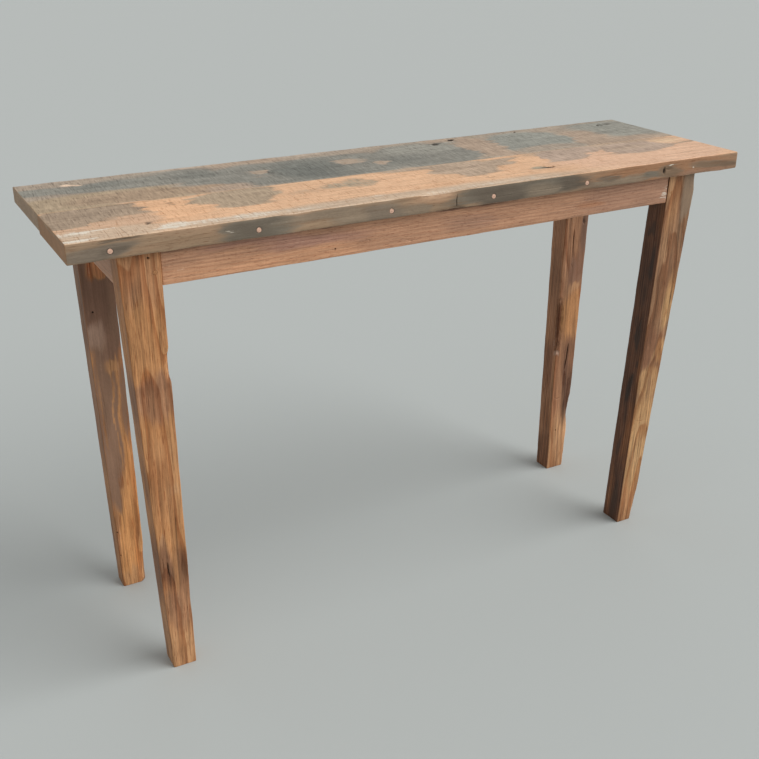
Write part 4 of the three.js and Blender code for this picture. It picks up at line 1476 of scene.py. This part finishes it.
for node, (first_leg, second_leg, end_height, face, marks) in APRONS.items():
    if end_height:
        bend, unbend, low, high = long_apron_bend(node, first_leg, second_leg, end_height)
        cuts, above, below, length = LONG_APRON
    else:
        bend, unbend, low, high = side_apron_bend(node, first_leg, second_leg)
        cuts, above, below, length = SIDE_APRON
    bm = squared_timber(low, high, cuts)
    weather(bm, low, high, 0.3)
    wear_arrises(bm, low, high, APRON_WORN)
    carve(bm, low, high, marks)
    grow_tenons(bm, low, high, above, high.y - below, length)
    piece = placed(bm, bend, node.replace("apron", "rail"), apron_wood)
    if end_height:
        pegs = [leg.removesuffix("_leg") + "_peg" for leg in (first_leg, second_leg)]
        cut_holes(piece, [rod_along(peg, FIT, FIT) for peg in pegs])
    paint(piece, low, high, unbend, {FACE: face, "other": HIDDEN_APRON}, marks=marks)
    piece.data.set_sharp_from_angle(angle=SHARP)
    hand_over(piece, "apron_wood", node)
    print(node, len(piece.data.polygons), "faces")

# %% [markdown]
# ## Plugs, pegs and dowels
#
# The round pieces start as a cone of equal radii. Plugs and pegs show only an end, so their rims are rounded a
# little, as the rim of a peg is when it is driven in and pared with a chisel.

# %% Round pieces
TONES.update({
    "plug_pink": (BARE, (212, 178, 160)),
    "peg_tan": (BARE, (170, 124, 84)),
    "pine": (BARE, (196, 164, 122)),
})
plug_wood = wood(
    "plug_wood", 7.0, streak=0.5, rings=0.3, saw_on_bare=0.0, flecks=0.6, length=30.0, width=1.0,
    pith=(0.0, 6.0, 9.0), ring_width=1.6, roughness=0.55,
)
inner_wood = wood(
    "inner_wood", 8.0, streak=0.4, rings=0.35, saw_on_bare=0.3, flecks=0.35, length=70.0, width=1.5,
    pith=(0.0, 30.0, 60.0), ring_width=4.5, roughness=0.7,
)
SMALL_SHARP = math.radians(40)  # small pieces keep a crease at gentler edges than the timbers do


def small_piece(node, bm, name, slot, tone, material, grain_axis):
    """Finishes a small timber with one tone. Its grain runs along grain_axis of the table."""
    low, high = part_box(node)
    order = [grain_axis] + [axis for axis in range(3) if axis != grain_axis]

    def to_grain(point):
        return tuple((point[axis] - low[axis]) / MM for axis in order)

    piece = finished(bm, name, material)
    size = [(high - low)[axis] / MM for axis in order]
    side = {"bare": tone, "skin": "plum", "patches": []}
    paint(piece, (0, 0, 0), size, to_grain, {"other": side})
    piece.data.set_sharp_from_angle(angle=SMALL_SHARP)
    hand_over(piece, slot, node)


def run_of(edge):
    """How far an edge goes along Y, the direction that every round piece lies in."""
    return abs(edge.verts[0].co.y - edge.verts[1].co.y)


def pared_rod(node, bevel):
    """A round piece with a softened rim at both ends, cut into rings so that its side isn't one long face."""
    bm = rod_along(node, 0.0)
    rims = [e for e in bm.edges if run_of(e) < MM / 10 and len(e.link_faces) == 2]
    soften(bm, rims, bevel)
    length = (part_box(node)[1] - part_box(node)[0]).y
    runs = [e for e in bm.edges if run_of(e) > length / 2]
    bmesh.ops.subdivide_edges(bm, edges=runs, cuts=10, use_grid_fill=True)
    return bm


peg_nodes = sorted(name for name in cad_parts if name.endswith("_peg"))
ROUND_PIECES = (
    (plug_nodes, "plug", "bung", 0.5, "plug_wood", "plug_pink", plug_wood),
    (peg_nodes, "peg", "treenail", 0.4, "plug_wood", "peg_tan", plug_wood),
    (dowel_nodes, "dowel", "pin", 0.8, "inner_wood", "pine", inner_wood),
)
for nodes, old, new, bevel, slot, tone, material in ROUND_PIECES:
    for node in nodes:
        small_piece(node, pared_rod(node, bevel * MM), node.replace(old, new), slot, tone, material, 1)
    print(len(nodes), "round pieces called", new)

# %% [markdown]
# ## Corner braces and buttons
#
# These blocks sit inside the frame and are seen only from below. The frame's own shapes are right, so each is
# copied, its loose triangles are joined into flat faces, and its arrises are bevelled.


# %% Blocks
def bevelled_copy(node, width):
    """A bmesh of the frame's own shape, with its long sharp edges rounded."""
    bm = bmesh.new()
    bm.from_mesh(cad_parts[node].data)
    bmesh.ops.remove_doubles(bm, verts=bm.verts, dist=MM / 100)
    bmesh.ops.dissolve_limit(bm, angle_limit=math.radians(1), verts=bm.verts, edges=bm.edges)
    outer = [e for e in bm.edges if e.is_manifold and e.calc_length() > 6 * MM and e.calc_face_angle() > 0.5]
    soften(bm, outer, width)
    return bm


BLOCK_BEVEL = 0.8 * MM
brace_nodes = sorted(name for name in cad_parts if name.endswith("_corner_brace"))
button_nodes = sorted(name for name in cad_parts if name.endswith("_button"))
for node in brace_nodes + button_nodes:
    name = node.replace("brace", "block").replace("button", "cleat")
    grain_axis = 1 if node in button_nodes else 0
    small_piece(node, bevelled_copy(node, BLOCK_BEVEL), name, "inner_wood", "pine", inner_wood, grain_axis)
print(len(brace_nodes), "braces and", len(button_nodes), "buttons")

# %% [markdown]
# ## Screws
#
# The screws keep the frame's shape. Old steel is never even: a noise mask spreads thin rust over the metal,
# and where it lies the surface is rougher and no longer metallic.

# %% Screw steel
DULL_STEEL, BRIGHT_STEEL, RUST = srgb(150, 146, 138), srgb(196, 190, 180), srgb(96, 62, 42)
screw_steel = bpy.data.materials.new("screw_steel")
screw_steel.use_nodes = True
tree = screw_steel.node_tree
spot = add(tree, "TexCoord", out="Object")
rust = span(tree, noise_value(tree, spot, 420.0, 4.0, 0.6), 0.48, 0.66)
brushed = noise_value(tree, vector_calc(tree, "MULTIPLY", spot, (900, 900, 2500)), 1.0, 2.0)
metal = mix(tree, brushed, DULL_STEEL, BRIGHT_STEEL)
steel_shader = tree.nodes["Principled BSDF"]
tree.links.new(mix(tree, rust, metal, RUST), steel_shader.inputs["Base Color"])
tree.links.new(calc(tree, "MULTIPLY_ADD", rust, 0.4, 0.32), steel_shader.inputs["Roughness"])
tree.links.new(calc(tree, "MULTIPLY_ADD", rust, -0.85, 1.0), steel_shader.inputs["Metallic"])
rough = calc(tree, "MULTIPLY_ADD", rust, 0.3, brushed)
tree.links.new(add(tree, "Bump", {"Height": rough, "Distance": MM / 10}), steel_shader.inputs["Normal"])
screw_nodes = [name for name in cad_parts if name.endswith("_screw")]
for name in screw_nodes:
    steel_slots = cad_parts[name].data.materials
    steel_slots.clear()
    steel_slots.append(screw_steel)
print(len(screw_nodes), "screws of steel")
